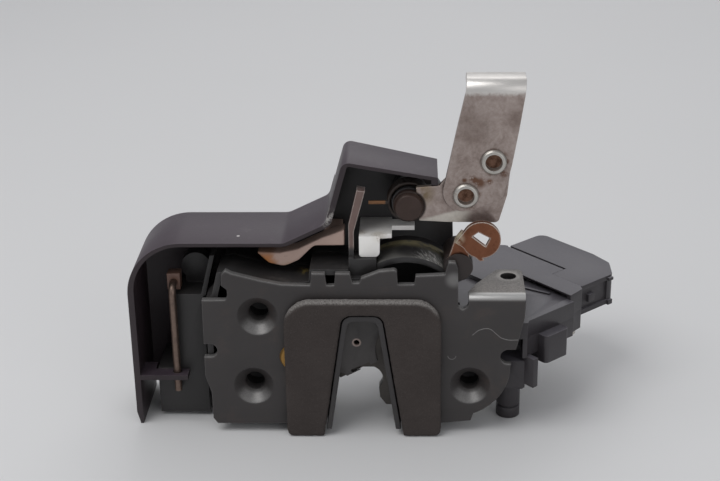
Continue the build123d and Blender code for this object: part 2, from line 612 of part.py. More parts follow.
# Guide bracket: the dark block on the case's roof with its upright blade
bracket_foot = 51.4
bracket_face = rounded(
    shape((-4.0, bracket_foot), (4.1, bracket_foot), (4.3, 56.8), (-2.5, 56.8), (-2.5, 64.5), (1.0, 77.4),
          (-1.4, 77.8), (-4.0, 66.8)),
    [(-4.0, bracket_foot, 1.2), (4.3, 56.8, 0.5)])
bracket = slab(bracket_face, 4.0, 10.0) - slab(shape((-6, 57.2), (6, 57.2), (6, 80), (-6, 80)), 3.0, 6.0)
bracket += slab(shape((-4.0, bracket_foot), (4.1, bracket_foot), (4.1, 53.6), (-4.0, 53.6)), 10.0, case_back)
save("guide_bracket", bracket)

# Coupling link: a plated sheet lying over the bracket, with a tab bent down at its front
link_top, link_sheet = 63.6, 1.4
link_back = tower_front - 0.5
link_plan = shape((-0.9, 5.0), (5.3, 5.0), (5.3, 6.6), (8.8, 7.2), (8.8, 13.4), (15.6, 13.4), (15.6, 18.8),
                  (8.8, 18.8), (8.8, link_back), (-0.9, link_back))
link = shelf(link_plan, link_top - link_sheet, link_top)
tab = rounded(shape((-0.9, 57.0), (5.2, 57.0), (5.3, link_top), (-0.9, link_top)),
              [(-0.9, 57.0, 1.0), (5.2, 57.0, 1.6)])
link += slab(tab, 5.0, 5.0 + link_sheet)
save("coupling_link", link)

# Outer lever, its riveted extension and the pivot that carries them on a bush from the tower
lever_back = lever_front + lever_thick
extension_front = lever_front - extension_thick
lever_pin = (lever_x, lever_height)
tube_rivets = [(lever_x + 24.5, lever_height + 14.4), (lever_x + 16.6, lever_height + 4.0)]
lever_face = Pos(*lever_pin) * rounded(
    shape((3.1, -4.6), (11.1, -5.0), (26.3, -5.2), (28.7, 3.4), (30.1, 17.8), (21.1, 19.3), (14.5, 13.4),
          (11.7, 9.4), (8.9, 6.4), (2.1, 5.8)),
    [(26.3, -5.2, 1.5), (30.1, 17.8, 3.0), (21.1, 19.3, 4.0), (11.7, 9.4, 2.0)])
lever_face += disc(*lever_pin, lever_pin_head + 0.2)
lever_face -= disc(*lever_pin, lever_pin_radius + pin_clear)
for x, z in tube_rivets:
    lever_face -= disc(x, z, tube_rivet_radius)
save("outer_lever", slab(lever_face, lever_front, lever_back))

extension_reach = extension_top - lever_height
extension_foot = lever_height - 3.2
extension_outline = Pos(*lever_pin) * make_face([
    Polyline((10.0, 5.8), (13.7, 23.9), (16.2, 35.2), (16.5, extension_reach + 1),
             (33.5, extension_reach + 1),
             (33.1, 34.8), (31.5, 23.8), (29.7, 13.2), (27.3, 3.0), (19.1, -0.2)),
    ThreePointArc((19.1, -0.2), (12.3, 0.4), (10.0, 5.8))])
for x, z in tube_rivets:
    extension_outline -= disc(x, z, tube_rivet_radius)
inner_bend = extension_bend - extension_thick
bend_low = extension_top - extension_bend
sheet_back = extension_top - extension_thick
fold_profile = make_face([
    Line((0, extension_foot), (0, bend_low)),
    RadiusArc((0, bend_low), (extension_bend, extension_top), extension_bend),
    Line((extension_bend, extension_top), (extension_fold, extension_top)),
    Line((extension_fold, extension_top), (extension_fold, sheet_back)),
    Line((extension_fold, sheet_back), (extension_bend, sheet_back)),
    RadiusArc((extension_bend, sheet_back), (extension_thick, bend_low), -inner_bend),
    Line((extension_thick, bend_low), (extension_thick, extension_foot)),
    Line((extension_thick, extension_foot), (0, extension_foot))])
fold_place = Plane(origin=(lever_x + 5, extension_front, 0), x_dir=(0, 1, 0), z_dir=(1, 0, 0))
extension = extrude(fold_place * fold_profile, 32)
extension &= slab(extension_outline, extension_front, extension_front + extension_fold)
save("lever_extension", extension)

tube_rivet_lip = 0.9
tube_rivet_set = Part()
for x, z in tube_rivets:
    tube = post(x, z, extension_front - tube_rivet_lip, lever_back + tube_rivet_lip, tube_rivet_radius)
    tube += cone(x, z, extension_front - tube_rivet_lip, extension_front, tube_rivet_head - 0.6,
                 tube_rivet_head)
    tube += cone(x, z, lever_back, lever_back + tube_rivet_lip, tube_rivet_head, tube_rivet_head - 0.6)
    tube -= post(x, z, extension_front - 1, extension_front + 1.4, tube_rivet_radius - tube_rivet_wall)
    tube_rivet_set += tube
save("lever_rivets", tube_rivet_set)

bush_radius = 5.0
bush_front = lever_back + 0.15
bush = post(*lever_pin, bush_front, tower_front, bush_radius)
bush -= post(*lever_pin, bush_front - 1, tower_front + 1, lever_pin_radius)
save("lever_bush", bush)
rivet = post(*lever_pin, lever_front - 0.15, tower_back, lever_pin_radius)
rivet += cone(*lever_pin, lever_front - 1.9, lever_front - 0.15, lever_pin_head - 0.6, lever_pin_head)
rivet += cone(*lever_pin, tower_back, tower_back + 1.2, lever_pin_radius + 1.4, lever_pin_radius + 0.5)
save("lever_pivot", rivet)
lever_wire = 0.6
save("lever_spring",
     coil(*lever_pin, bush_front + 0.6, bush_radius + 0.3 + lever_wire, lever_wire, 7, 0, 180, 6.0))

# Eye lever: an eye plate in front, a tab folded back from it, and a hub held under the post's head
eye_post = (eye_post_x, eye_post_height)
eye_back = eye_front + eye_thick
eye_head_front, eye_head_back = plate_thick + 0.3, plate_thick + 1.0
eye_hub_front, eye_hub_back = eye_head_back + 0.2, lever_front - run_gap
eye_face = Pos(6.5, 9.5) * Circle(eye_radius) + shape((-0.9, 8.9), (2.2, 13.2), (7.4, 3.0), (6.2, 2.8))
eye_face -= shape((3.8, 10.6), (5.6, 12.0), (9.1, 10.1), (7.8, 7.4))
tab_face = shape((-1.1, 8.7), (0.8, 11.3), (2.3, 10.3), (0.4, 7.7))
hub_face = Circle(eye_post_radius - run_gap)
hub_face += shape((-3.0, 2.4), (3.2, 2.0), (2.3, 10.3), (0.8, 11.3), (-1.1, 8.7))
hub_face -= Circle(eye_pin_radius + pin_clear)
eye_lever = slab(Pos(*eye_post) * eye_face, eye_front, eye_back)
eye_lever += slab(Pos(*eye_post) * tab_face, eye_front, eye_hub_back)
eye_lever += slab(Pos(*eye_post) * hub_face, eye_hub_front, eye_hub_back)
save("eye_lever", eye_lever)
eye_pin = post(*eye_post, eye_head_front, eye_head_back, eye_post_radius)
eye_pin += post(*eye_post, eye_head_back, eye_hub_back + 0.2, eye_pin_radius)
eye_pin += post(*eye_post, eye_hub_back + 0.2, rear_front + 0.1, eye_post_radius)
eye_pin -= slab(case_outline, eye_hub_back + 0.1, case_back) + rear
save("eye_lever_post", eye_pin)

# Actuator module, drawn in its own turned plan: a runs to the front right, b to the back right
module_c, module_s = cos(radians(module_turn)), sin(radians(module_turn))


def plan(a, b):
    """A point of the turned plan as X and Y."""
    return a * module_c - b * module_s, a * module_s + b * module_c


def plan_shape(*points):
    return shape(*[plan(a, b) for a, b in points])


# Shape of the module, and of the plug socket that is let into its back right corner
socket_b0, socket_wide = 68.4, 11.8
socket_b1 = socket_b0 + socket_wide
tray_end = socket_b0 - 8.4
step_b = socket_b0 - 20.4
body_end = socket_b0 + 5.2
front_wall = 30.5
socket_start = socket_b0 - 0.9
tray_points = [(35.0, 33.0), (front_wall, 40.0), (front_wall, tray_end), (8.0, tray_end), (8.0, step_b),
               (-4.0, step_b),
               (-4.0, 30.0)]
body_points = [(front_wall - 1.5, tray_end), (28.0, socket_b0 - 1.4), (26.6, socket_b0 - 1.4),
               (26.6, body_end),
               (-14.0, body_end), (-14.0, step_b), (8.0, step_b), (8.0, tray_end)]
slab_points = [(26.8, socket_start), (26.8, socket_b1 + 1.8), (20.2, socket_b1 + 7.8),
               (12.0, socket_b1 + 9.2), (-11.0, socket_b1 + 9.2), (-11.0, body_end), (14.0, body_end),
               (14.0, socket_start)]
tray_left = case_right + 1.6
tray_face = plan_shape(*tray_points) & shape((tray_left, plate_thick + 0.4), (90, plate_thick + 0.4),
                                             (90, 90),
                                             (24.6, 90), (24.6, rear_back), (rear_right, rear_back),
                                             (rear_right, rear_front + 0.3), (tray_left, rear_front + 0.3))
body_face = rounded(plan_shape(*body_points), [(*plan(*body_points[1]), 1.5), (*plan(*body_points[4]), 3.0),
                                               (*plan(*body_points[5]), 3.0)])
socket_face = rounded(plan_shape(*slab_points),
                      [(*plan(*slab_points[1]), 3.0), (*plan(*slab_points[2]), 3.0),
                                                 (*plan(*slab_points[4]), 3.0)])
split_height = 31.0

# Worm drive: the worm lies along the motor's axis and the wheel turns upright beside it
motor_b, motor_back, motor_front = socket_b0 - 5.5, -11.5, 5.8
worm_radius, worm_tooth, worm_start, worm_length, worm_pitch = 1.8, 0.9, 9.6, 11.0, 2.6
worm_lead_in = 1.0
wheel_teeth, wheel_tooth = 18, 1.3
wheel_pitch_radius = wheel_teeth * worm_pitch / (2 * pi)
wheel_tip = wheel_pitch_radius + 0.3
wheel_a = worm_start + worm_lead_in + 1.5 * worm_pitch
wheel_b = motor_b - wheel_pitch_radius - worm_radius - 0.5
wheel_height, wheel_half, hub_radius, wheel_bore = 31.2, 2.5, 3.2, 1.2
wheel_x, wheel_y = plan(wheel_a, wheel_b)

# The socket's hole opens backwards; the module's end beside it has a recessed panel between two lips
hole_left, hole_right, hole_back = -2.0, 12.4, socket_b0 + 8.6
socket_low, socket_high = 29.4, 36.6
panel_deep, panel_lip = 0.8, 0.9
socket_hole = shelf(plan_shape((hole_left, hole_back), (hole_right, hole_back), (hole_right, 120),
                               (hole_left, 120)),
                    socket_low, socket_high)
end_a = slab_points[0][0]
end_panel = shelf(plan_shape((end_a - panel_deep, socket_b0 - 0.4), (end_a + 1, socket_b0 - 0.4),
                             (end_a + 1, socket_b1 - 0.6), (end_a - panel_deep,
                                                            socket_b1 - 0.6)), 29.6, 36.4)
end_catch = shelf(plan_shape((end_a - 2, socket_b0 + 2.2), (end_a + 0.4, socket_b0 + 2.2),
                             (end_a + 0.4, socket_b0 + 5.0), (end_a - 2, socket_b0 + 5.0)), 31.6, 34.2)
lip_plan = plan_shape((end_a - 1, socket_b1 - 0.6), (end_a + panel_lip, socket_b1 - 0.6),
                      (end_a + panel_lip, socket_b1 + 1.4), (end_a - 1, socket_b1 + 1.4))
solid_end = plan_shape((8.4, socket_b0 - 2.3), (60, socket_b0 - 2.3), (60, 120), (8.4, 120))
cut_end = plan_shape((9.6, socket_b0 - 1.2), (60, socket_b0 - 1.2), (60, 120), (9.6, 120))

# Ledge block at the housing's front corner, under a step of the lid
ledge_face = shape((41.0, 3.2), (49.3, 3.2), (49.3, 12.5), (41.0, 12.5))
ledge_low, ledge_high = 14.0, 23.0
corner_cut = shape((30.0, 0.0), (48.3, 0.0), (48.3, 13.0), (30.0, 13.0))
riser_face = shape((41.0, 11.0), (49.3, 11.0), (49.3, 15.5), (41.0, 15.5))

socket = shelf(socket_face, socket_foot, module_top) - socket_hole - end_panel + end_catch
socket += shelf(lip_plan, socket_foot, socket_low + 0.2)
socket += shelf(lip_plan, socket_high - 0.2, module_top - 0.6)
tongue_b = socket_start + 1.1
socket += shelf(plan_shape((10.2, tongue_b), (14.5, tongue_b), (14.5, tongue_b + 4), (10.2, tongue_b + 4)),
                socket_foot + 1.4, split_height + 1.2)

lower = shelf(tray_face + body_face, module_foot, split_height)
lower_core = offset(tray_face + body_face, -module_wall, kind=Kind.INTERSECTION) - solid_end
lower_core -= offset(corner_cut, module_wall, kind=Kind.INTERSECTION) + riser_face
lower -= shelf(lower_core, module_foot + module_wall, split_height + 1)
lower -= shelf(corner_cut, module_foot - 1, split_height + 1)
lower -= shelf(cut_end, module_foot - 1, socket_foot)
lower += shelf(ledge_face, ledge_low, ledge_high) + shelf(riser_face, ledge_low, split_height - 1)
lower += shelf(Pos(48.3, 7.0) * Circle(1.0), 12.0, ledge_low + 0.5)
peg_place = Pos(peg_x, peg_y)
peg = shelf(peg_place * Circle(peg_radius), 4.2, ledge_low + 1) + shelf(peg_place * Circle(peg_radius), 0,
                                                                        3.4)
peg += shelf(peg_place * Circle(peg_radius - 0.6), 3.2, 4.4)
block_b0, block_b1 = step_b - 3.7, step_b + 6.3
block = shelf(rounded(plan_shape((26.5, block_b0), (34.0, block_b0), (34.0, block_b1), (26.5, block_b1)),
                      [(*plan(34.0, block_b0), 1.4), (*plan(34.0, block_b1), 1.4)]), 21.6, 30.6)
small_block = shelf(plan_shape((29.2, 38.6), (34.2, 38.6), (34.2, 40.6), (29.2, 40.6)), 15.4, 25.0)
lower += block + small_block + peg
screw_head_radius, screw_shank_radius, screw_head = 2.6, 1.3, 1.6
lid_screws = [(7.0, 38.5, module_foot), (25.4, tray_end + 3, module_foot),
              (-10.3, step_b + 3.6, module_foot), (12.4, tongue_b + 2, socket_foot)]
for a, b, foot in lid_screws:
    x, y = plan(a, b)
    lower += shelf(Pos(x, y) * Circle(screw_head_radius + 0.4), foot, split_height)
    lower -= shelf(Pos(x, y) * Circle(screw_shank_radius), foot - 1, split_height + 1)
lower -= shelf(Pos(wheel_x, wheel_y) * Circle(hub_radius + 0.3), module_foot - 1,
               module_foot + module_wall + 1)
lower -= socket + shelf(socket_face, socket_foot, module_top)
save("actuator_housing", lower)

cover_lid = shelf(tray_face, split_height, tray_top) + shelf(body_face, split_height, module_top)
cover_lid -= shelf(lower_core, split_height - 1, tray_top - module_wall)
body_core = offset(body_face, -module_wall, kind=Kind.INTERSECTION) - solid_end
cover_lid -= shelf(body_core, split_height - 1, module_top - module_wall)
seam = shelf(plan_shape((-11.5, body_end - 0.5), (14.0, body_end - 0.5), (14.0, body_end + 0.5),
                        (-11.5, body_end + 0.5)), module_top - 0.8, module_top + 1)
cover_lid -= seam
cover_lid -= shelf(shape((49.5, 5.2), (64.0, 20.9), (50.0, 38.3)), tray_top - 0.5, tray_top + 1)
cover_lid += shelf(shape((50.0, 28.0), (57.8, 23.4), (58.3, 24.2), (50.0, 29.0)), tray_top - 0.8, tray_top)
cover_lid += shelf(Pos(ear_hole_x, ear_hole_y) * Circle(4.2), tray_top - 0.5, ear_foot)
cover_lid -= shelf(Pos(ear_hole_x, ear_hole_y) * Circle(1.6), tray_top + 1.5, ear_foot + 1)
for a, b, foot in lid_screws[:3]:
    x, y = plan(a, b)
    cover_lid += shelf(Pos(x, y) * Circle(screw_head_radius + 0.4), split_height, tray_top - 1)

# Connector pins in a row through the socket's inner wall; its tongue is pinched between housing and lid
pin_half, pin_height, pin_pitch = 0.4, 33.0, 2.5
pin_row = Part()
for index in range(5):
    a = (hole_left + hole_right) / 2 + (index - 2) * pin_pitch
    pin_row += shelf(plan_shape((a - pin_half, hole_back - 4.5), (a + pin_half, hole_back - 4.5),
                                (a + pin_half, hole_back + 6), (a - pin_half, hole_back + 6)),
                     pin_height - pin_half, pin_height + pin_half)
cover_lid -= pin_row
save("connector_pins", pin_row)
pinch_x, pinch_y = plan(*lid_screws[3][:2])
socket -= pin_row + seam + shelf(Pos(pinch_x, pinch_y) * Circle(screw_shank_radius), socket_foot, module_top)
save("plug_socket", socket)
for a, b, foot in lid_screws:
    x, y = plan(a, b)
    cover_lid -= shelf(Pos(x, y) * Circle(screw_shank_radius), split_height - 1, split_height + 4)
cover_lid += shelf(Pos(wheel_x, wheel_y) * Circle(2.4), wheel_height + wheel_half + 0.3, tray_top - 0.5)
cover_lid -= shelf(Pos(wheel_x, wheel_y) * Circle(wheel_bore), wheel_height + wheel_half, tray_top - 0.5)
cover_lid -= socket + shelf(socket_face, split_height, module_top)
save("actuator_cover", cover_lid)
screws = Part()
for a, b, foot in lid_screws:
    x, y = plan(a, b)
    screws += shelf(Pos(x, y) * Circle(screw_shank_radius), foot, split_height + 3.6)
    screws += shelf(Pos(x, y) * (Circle(screw_head_radius) - RegularPolygon(1.2, 6)), foot - screw_head,
                    foot)
save("lid_screws", screws)

# Lock motor and its worm
motor_axis = Plane(origin=(*plan(motor_back, motor_b), wheel_height), z_dir=(module_c, module_s, 0),
                   x_dir=(-module_s, module_c, 0))
motor_half = wheel_height - module_foot - module_wall - 0.2
motor_length = motor_front - motor_back
spindle_radius, spindle_in = 1.05, 3.0
can = Circle(6.0) & Rectangle(20, 2 * motor_half)
motor = extrude(motor_axis * can, motor_length)
motor += extrude(motor_axis.offset(motor_length) * Circle(2.4), 1.2)
motor -= extrude(motor_axis.offset(motor_length - spindle_in) * Circle(spindle_radius + pin_clear), 6)
save("lock_motor", motor)

worm_plane = motor_axis.offset(worm_start - motor_back)
spindle_end = worm_start + worm_length + 1.0
worm = extrude(motor_axis.offset(motor_length - spindle_in) * Circle(spindle_radius),
               spindle_end - motor_front + spindle_in)
worm += extrude(worm_plane * Circle(worm_radius), worm_length)
thread_path = worm_plane * Pos(0, 0, worm_lead_in) * Helix(worm_pitch, worm_length - 2 * worm_lead_in,
                                                           worm_radius)
thread_start = thread_path @ 0
thread_plane = Plane(origin=thread_start, z_dir=thread_path % 0, x_dir=motor_axis.x_dir)
thread_face = Trapezoid(worm_pitch / 2, 2 * worm_tooth, 76, rotation=-90)
worm += sweep(thread_plane * thread_face, path=thread_path, is_frenet=True)
save("motor_worm", worm)

# Worm wheel, its pin and the crank on its hub, which works the lock gear from below the housing
wheel_face = Circle(wheel_tip - wheel_tooth)
tooth = shape((wheel_tip - wheel_tooth - 0.5, -0.6), (wheel_tip, -0.32), (wheel_tip, 0.32),
              (wheel_tip - wheel_tooth - 0.5, 0.6))
for index in range(wheel_teeth):
    wheel_face += Rot(0, 0, module_turn + 90 + (index + 0.5) * 360 / wheel_teeth) * tooth
wheel_bottom = module_foot - 0.4
wheel_place = Pos(wheel_x, wheel_y, wheel_height - wheel_half)
wheel = wheel_place * extrude(wheel_face - Circle(wheel_bore + pin_clear), 2 * wheel_half)
wheel += shelf(Pos(wheel_x, wheel_y) * (Circle(hub_radius) - Circle(wheel_bore + pin_clear)), wheel_bottom,
               wheel_height)
save("worm_wheel", wheel)
save("wheel_pin", shelf(Pos(wheel_x, wheel_y) * Circle(wheel_bore), wheel_bottom - 2.6, tray_top - 0.5))
crank_thick, crank_reach, crank_eye = 2.0, 11.0, 1.5
crank_face = Circle(hub_radius + 0.8) + Pos(-crank_reach, 0) * Circle(2.6)
crank_face += Polygon((0, -hub_radius), (0, hub_radius), (-crank_reach, 2.3), (-crank_reach, -2.3),
                      align=None)
crank_face -= Circle(wheel_bore + pin_clear) + Pos(-crank_reach, 0) * Circle(crank_eye)
save("lock_crank", shelf(Pos(wheel_x, wheel_y) * crank_face, wheel_bottom - crank_thick, wheel_bottom))

# Lock switch on the housing's floor beside the wheel
switch_foot = module_foot + module_wall
switch_b = step_b - 6.5
switch_body = shelf(plan_shape((-1.5, switch_b), (4.5, switch_b), (4.5, switch_b + 6), (-1.5, switch_b + 6)),
                    switch_foot, switch_foot + 6.0)
switch_body += shelf(plan_shape((4.5, switch_b + 2), (5.7, switch_b + 2), (5.7, switch_b + 3.5),
                                (4.5, switch_b + 3.5)), switch_foot + 2.5, switch_foot + 4.5)
save("lock_switch", switch_body)
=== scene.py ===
import bpy
import json
import math
from mathutils import Matrix, Vector

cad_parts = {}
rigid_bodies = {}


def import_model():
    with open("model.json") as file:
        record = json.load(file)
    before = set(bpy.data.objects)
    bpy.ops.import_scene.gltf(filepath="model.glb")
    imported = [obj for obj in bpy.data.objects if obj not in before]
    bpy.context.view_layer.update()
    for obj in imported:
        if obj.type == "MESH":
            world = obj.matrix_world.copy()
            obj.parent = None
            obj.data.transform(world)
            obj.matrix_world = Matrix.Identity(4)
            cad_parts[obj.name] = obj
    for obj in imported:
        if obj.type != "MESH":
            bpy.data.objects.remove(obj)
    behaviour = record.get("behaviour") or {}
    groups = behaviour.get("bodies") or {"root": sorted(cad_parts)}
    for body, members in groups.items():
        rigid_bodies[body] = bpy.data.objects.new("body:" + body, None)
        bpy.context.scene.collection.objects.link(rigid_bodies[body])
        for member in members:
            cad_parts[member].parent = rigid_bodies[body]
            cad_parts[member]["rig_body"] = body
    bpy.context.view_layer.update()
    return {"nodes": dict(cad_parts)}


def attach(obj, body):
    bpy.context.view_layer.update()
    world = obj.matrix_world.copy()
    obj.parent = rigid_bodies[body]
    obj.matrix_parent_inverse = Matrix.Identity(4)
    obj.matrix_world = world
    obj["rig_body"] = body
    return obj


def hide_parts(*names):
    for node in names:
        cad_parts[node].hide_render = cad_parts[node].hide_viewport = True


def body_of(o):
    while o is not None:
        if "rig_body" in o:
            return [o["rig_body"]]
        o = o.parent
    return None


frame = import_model()
mm = 0.001
standHeight = -34.5 * mm          # height of the surface that the latch stands on
print("stage: frame loaded,", len(frame["nodes"]), "nodes")


def placeCamera():
    view = {"azimuth": 2.2, "elevation": 23.0, "roll": -0.9, "away": 0.456, "lens": 73.6,
            "footPixel": (364.2, 432.0), "middlePixel": (360.0, 240.5), "pixelsPerUnit": 1472.0}
    turn, tilt, roll = (math.radians(view[key]) for key in ("azimuth", "elevation", "roll"))
    forward = Vector((-math.sin(turn) * math.cos(tilt), math.cos(turn) * math.cos(tilt), -math.sin(tilt)))
    right = Vector((math.cos(turn), math.sin(turn), 0))
    up = right.cross(forward)
    rolledRight = right * math.cos(roll) + up * math.sin(roll)
    rolledUp = up * math.cos(roll) - right * math.sin(roll)
    aside = (view["footPixel"][0] - view["middlePixel"][0]) / view["pixelsPerUnit"]
    below = (view["footPixel"][1] - view["middlePixel"][1]) / view["pixelsPerUnit"]
    foot = Vector((0, 0, standHeight))
    place = foot - (forward + rolledRight * aside - rolledUp * below) * view["away"]
    camera = bpy.data.objects.new("photoCamera", bpy.data.cameras.new("photoCamera"))
    bpy.context.scene.collection.objects.link(camera)
    axes = Matrix((rolledRight, rolledUp, -forward)).transposed().to_4x4()
    camera.matrix_world = Matrix.Translation(place) @ axes
    camera.data.lens = view["lens"]
    camera.data.clip_start = 0.01
    bpy.context.scene.camera = camera


placeCamera()
print("stage: camera placed")


class Wire:          # one socket of a finish, so that masks are worked out as plain sums
    def __init__(self, finish, socket):
        self.finish = finish
        self.socket = socket

    def sum(self, operation, first, second):
        return self.finish.add("ShaderNodeMath", {"operation": operation}, {0: first, 1: second})

    def __add__(self, other):
        return self.sum("ADD", self, other)

    def __radd__(self, other):
        return self.sum("ADD", other, self)

    def __sub__(self, other):
        return self.sum("SUBTRACT", self, other)

    def __rsub__(self, other):
        return self.sum("SUBTRACT", other, self)

    def __mul__(self, other):
        return self.sum("MULTIPLY", self, other)

    def __rmul__(self, other):
        return self.sum("MULTIPLY", other, self)

    def __truediv__(self, other):
        return self.sum("DIVIDE", self, other)

    def __pow__(self, other):
        return self.sum("POWER", self, other)


class Finish:        # a material under construction
    edgeSamples = 6          # more of these give smoother edges and slower pictures
    cornerSamples = 8

    def __init__(self, name):
        self.material = bpy.data.materials.new(name)
        self.material.use_nodes = True
        self.nodes = self.material.node_tree.nodes
        self.links = self.material.node_tree.links
        self.nodes.clear()
        output = self.nodes.new("ShaderNodeOutputMaterial")
        self.shader = self.nodes.new("ShaderNodeBsdfPrincipled")
        self.links.new(self.shader.outputs["BSDF"], output.inputs["Surface"])
        self.place = self.add("ShaderNodeTexCoord", take="Object")

    def add(self, kind, settings=None, sockets=None, take=0):
        node = self.nodes.new(kind)
        for key, value in (settings or {}).items():
            if key == "stops":
                ramp = node.color_ramp
                for index, (spot, level) in enumerate(value):
                    stop = ramp.elements[index] if index < 2 else ramp.elements.new(spot)
                    stop.position = spot
                    stop.color = (level, level, level, 1)
            elif key == "ease":
                node.color_ramp.interpolation = value
            else:
                setattr(node, key, value)
        for key, value in (sockets or {}).items():
            if isinstance(value, Wire):
                self.links.new(value.socket, node.inputs[key])
            else:
                node.inputs[key].default_value = value
        return Wire(self, node.outputs[take])

    def noise(self, scale, detail=3.0, rough=0.5, along=None, lumps=0.0):
        spot = along or self.place
        return self.add("ShaderNodeTexNoise", None, {"Vector": spot, "Scale": scale, "Detail": detail,
                                                     "Roughness": rough, "Distortion": lumps}, "Fac")

    def cells(self, scale):
        return self.add("ShaderNodeTexVoronoi", None, {"Vector": self.place, "Scale": scale}, "Distance")

    def stretched(self, scale, turn=(0.0, 0.0, 0.0)):
        return self.add("ShaderNodeMapping", {"vector_type": "TEXTURE"},
                        {"Vector": self.place, "Rotation": turn, "Scale": scale}, "Vector")

    def between(self, wire, low, high):                   # 0 at low, 1 at high, and smooth from one to the other
        return self.add("ShaderNodeMapRange", {"interpolation_type": "SMOOTHSTEP"},
                        {"Value": wire, "From Min": low, "From Max": high}, "Result")

    def absolute(self, wire):
        return self.add("ShaderNodeMath", {"operation": "ABSOLUTE"}, {0: wire})

    def atMost(self, wire, limit):
        return self.add("ShaderNodeMath", {"operation": "MINIMUM"}, {0: wire, 1: limit})

    def aside(self, across, height, x, z):                # how far from the line that runs back through x, z
        return ((across - x) ** 2.0 + (height - z) ** 2.0) ** 0.5

    def edge(self, radius, low=0.02, high=0.16):          # how near a sharp edge lies
        soft = self.add("ShaderNodeBevel", {"samples": self.edgeSamples}, {"Radius": radius}, "Normal")
        plain = self.add("ShaderNodeNewGeometry", None, None, "Normal")
        dot = self.add("ShaderNodeVectorMath", {"operation": "DOT_PRODUCT"}, {0: soft, 1: plain}, "Value")
        return self.between(1.0 - dot, low, high)

    def topEdge(self, radius, low, high):                 # how near an edge that faces up lies, where highlights are painted
        soft = self.add("ShaderNodeBevel", {"samples": self.edgeSamples}, {"Radius": radius}, "Normal")
        return self.between(self.part(soft, "Z"), low, high)

    def cornerShade(self, reach, low=0.30, high=0.85):         # how deep in a tight corner, used to paint shade there
        shade = self.add("ShaderNodeAmbientOcclusion", {"samples": self.cornerSamples}, {"Distance": reach}, "AO")
        return 1.0 - self.between(shade, low, high)

    def part(self, wire, name):
        return self.add("ShaderNodeSeparateXYZ", None, {0: wire}, name)

    def upward(self, low, high):                          # how far a face looks up
        facing = self.add("ShaderNodeTexCoord", None, None, "Normal")
        return self.between(self.part(facing, "Z"), low, high)

    def axis(self, name):
        return self.part(self.place, name)

    def spot(self, centre, inner, outer):                 # 1 inside a ball, 0 outside it
        away = self.add("ShaderNodeVectorMath", {"operation": "DISTANCE"},
                        {0: self.place, 1: centre}, "Value")
        return 1.0 - self.between(away, inner, outer)

    def blend(self, share, first, second):                # the first colour where share is 0, the second at 1
        node = self.nodes.new("ShaderNodeMix")
        node.data_type = "RGBA"
        node.blend_type = "MIX"
        node.clamp_factor = True
        for index, value in ((0, share), (6, first), (7, second)):
            if isinstance(value, Wire):
                self.links.new(value.socket, node.inputs[index])
            elif index == 0:
                node.inputs[index].default_value = value
            else:
                node.inputs[index].default_value = (*value, 1)
        return Wire(self, node.outputs[2])

    def bump(self, height, strength, distance):
        return self.add("ShaderNodeBump", None,
                        {"Height": height, "Strength": strength, "Distance": distance}, "Normal")

    def close(self, **wires):
        names = {"colour": "Base Color", "rough": "Roughness", "metal": "Metallic", "normal": "Normal",
                 "specular": "Specular IOR Level"}
        for key, value in wires.items():
            socket = self.shader.inputs[names[key]]
            if isinstance(value, Wire):
                self.links.new(value.socket, socket)
            elif key == "colour":
                socket.default_value = (*value, 1)
            else:
                socket.default_value = value
        return self.material


def mouldedFinish(name, look):          # grained dark plastic, paler where it has been rubbed
    finish = Finish(name)
    cloud = finish.noise(38, 4, 0.6)
    fine = finish.noise(2400, 2, 0.6)
    grain = finish.noise(1500, 1, 0.5)
    dust = finish.between(finish.noise(160, 5, 0.7), 0.52, 0.74) * finish.upward(0.2, 0.8)
    rub = finish.edge(look["edge"]) * finish.between(finish.noise(420, 4, 0.65), 0.40, 0.62)
    colour = finish.blend(cloud, look["dark"], look["light"])
    colour = finish.blend(dust * look["dust"], colour, look["dustColour"])
    colour = finish.blend(rub * look["rub"], colour, look["rubColour"])
    rough = look["rough"] + 0.16 * (cloud - 0.5) + 0.12 * (fine - 0.5)
    height = grain * 0.7 + fine * 0.3
    return finish, colour, rough, finish.bump(height, look["grain"], 0.00012)


def coverFinish():                      # plum-black shroud, with painted shade darkening its upright faces and lips
    look = {"dark": (0.040, 0.030, 0.038), "light": (0.070, 0.052, 0.066), "rough": 0.46, "grain": 0.32,
            "dust": 0.20, "dustColour": (0.16, 0.14, 0.15), "rub": 0.30, "rubColour": (0.24, 0.22, 0.22),
            "edge": 0.0007, "sideShadeDark": (0.021, 0.014, 0.017), "sideShadeLight": (0.035, 0.025, 0.029),
            "worn": (-0.0102, 0.006, 0.0352), "wornColour": (0.42, 0.40, 0.38),
            "nick": (-0.0375, 0.0110, 0.0268), "nickColour": (0.60, 0.56, 0.55)}
    finish, colour, rough, normal = mouldedFinish("coverPlastic", look)
    top = finish.upward(0.10, 0.60)
    paintedSideShade = finish.blend(finish.noise(60, 4, 0.6), look["sideShadeDark"], look["sideShadeLight"])
    # painted shade: the upright faces are coloured darker than the tops
    colour = finish.blend(1.0 - top, colour, paintedSideShade)
    flecks = finish.between(finish.noise(900, 4, 0.7), 0.46, 0.60)
    worn = finish.spot(look["worn"], 0.0008, 0.0042) * flecks
    nick = finish.spot(look["nick"], 0.00035, 0.00060)
    colour = finish.blend(worn * 0.85, colour, look["wornColour"])
    colour = finish.blend(nick, colour, look["nickColour"])
    return finish.close(colour=colour, rough=rough, normal=normal, specular=0.45)


blackPlastic = {"dark": (0.018, 0.017, 0.017), "light": (0.032, 0.030, 0.030), "rough": 0.48, "grain": 0.30,
                "dustColour": (0.13, 0.12, 0.11), "rub": 0.30, "rubColour": (0.22, 0.21, 0.20), "edge": 0.0006}


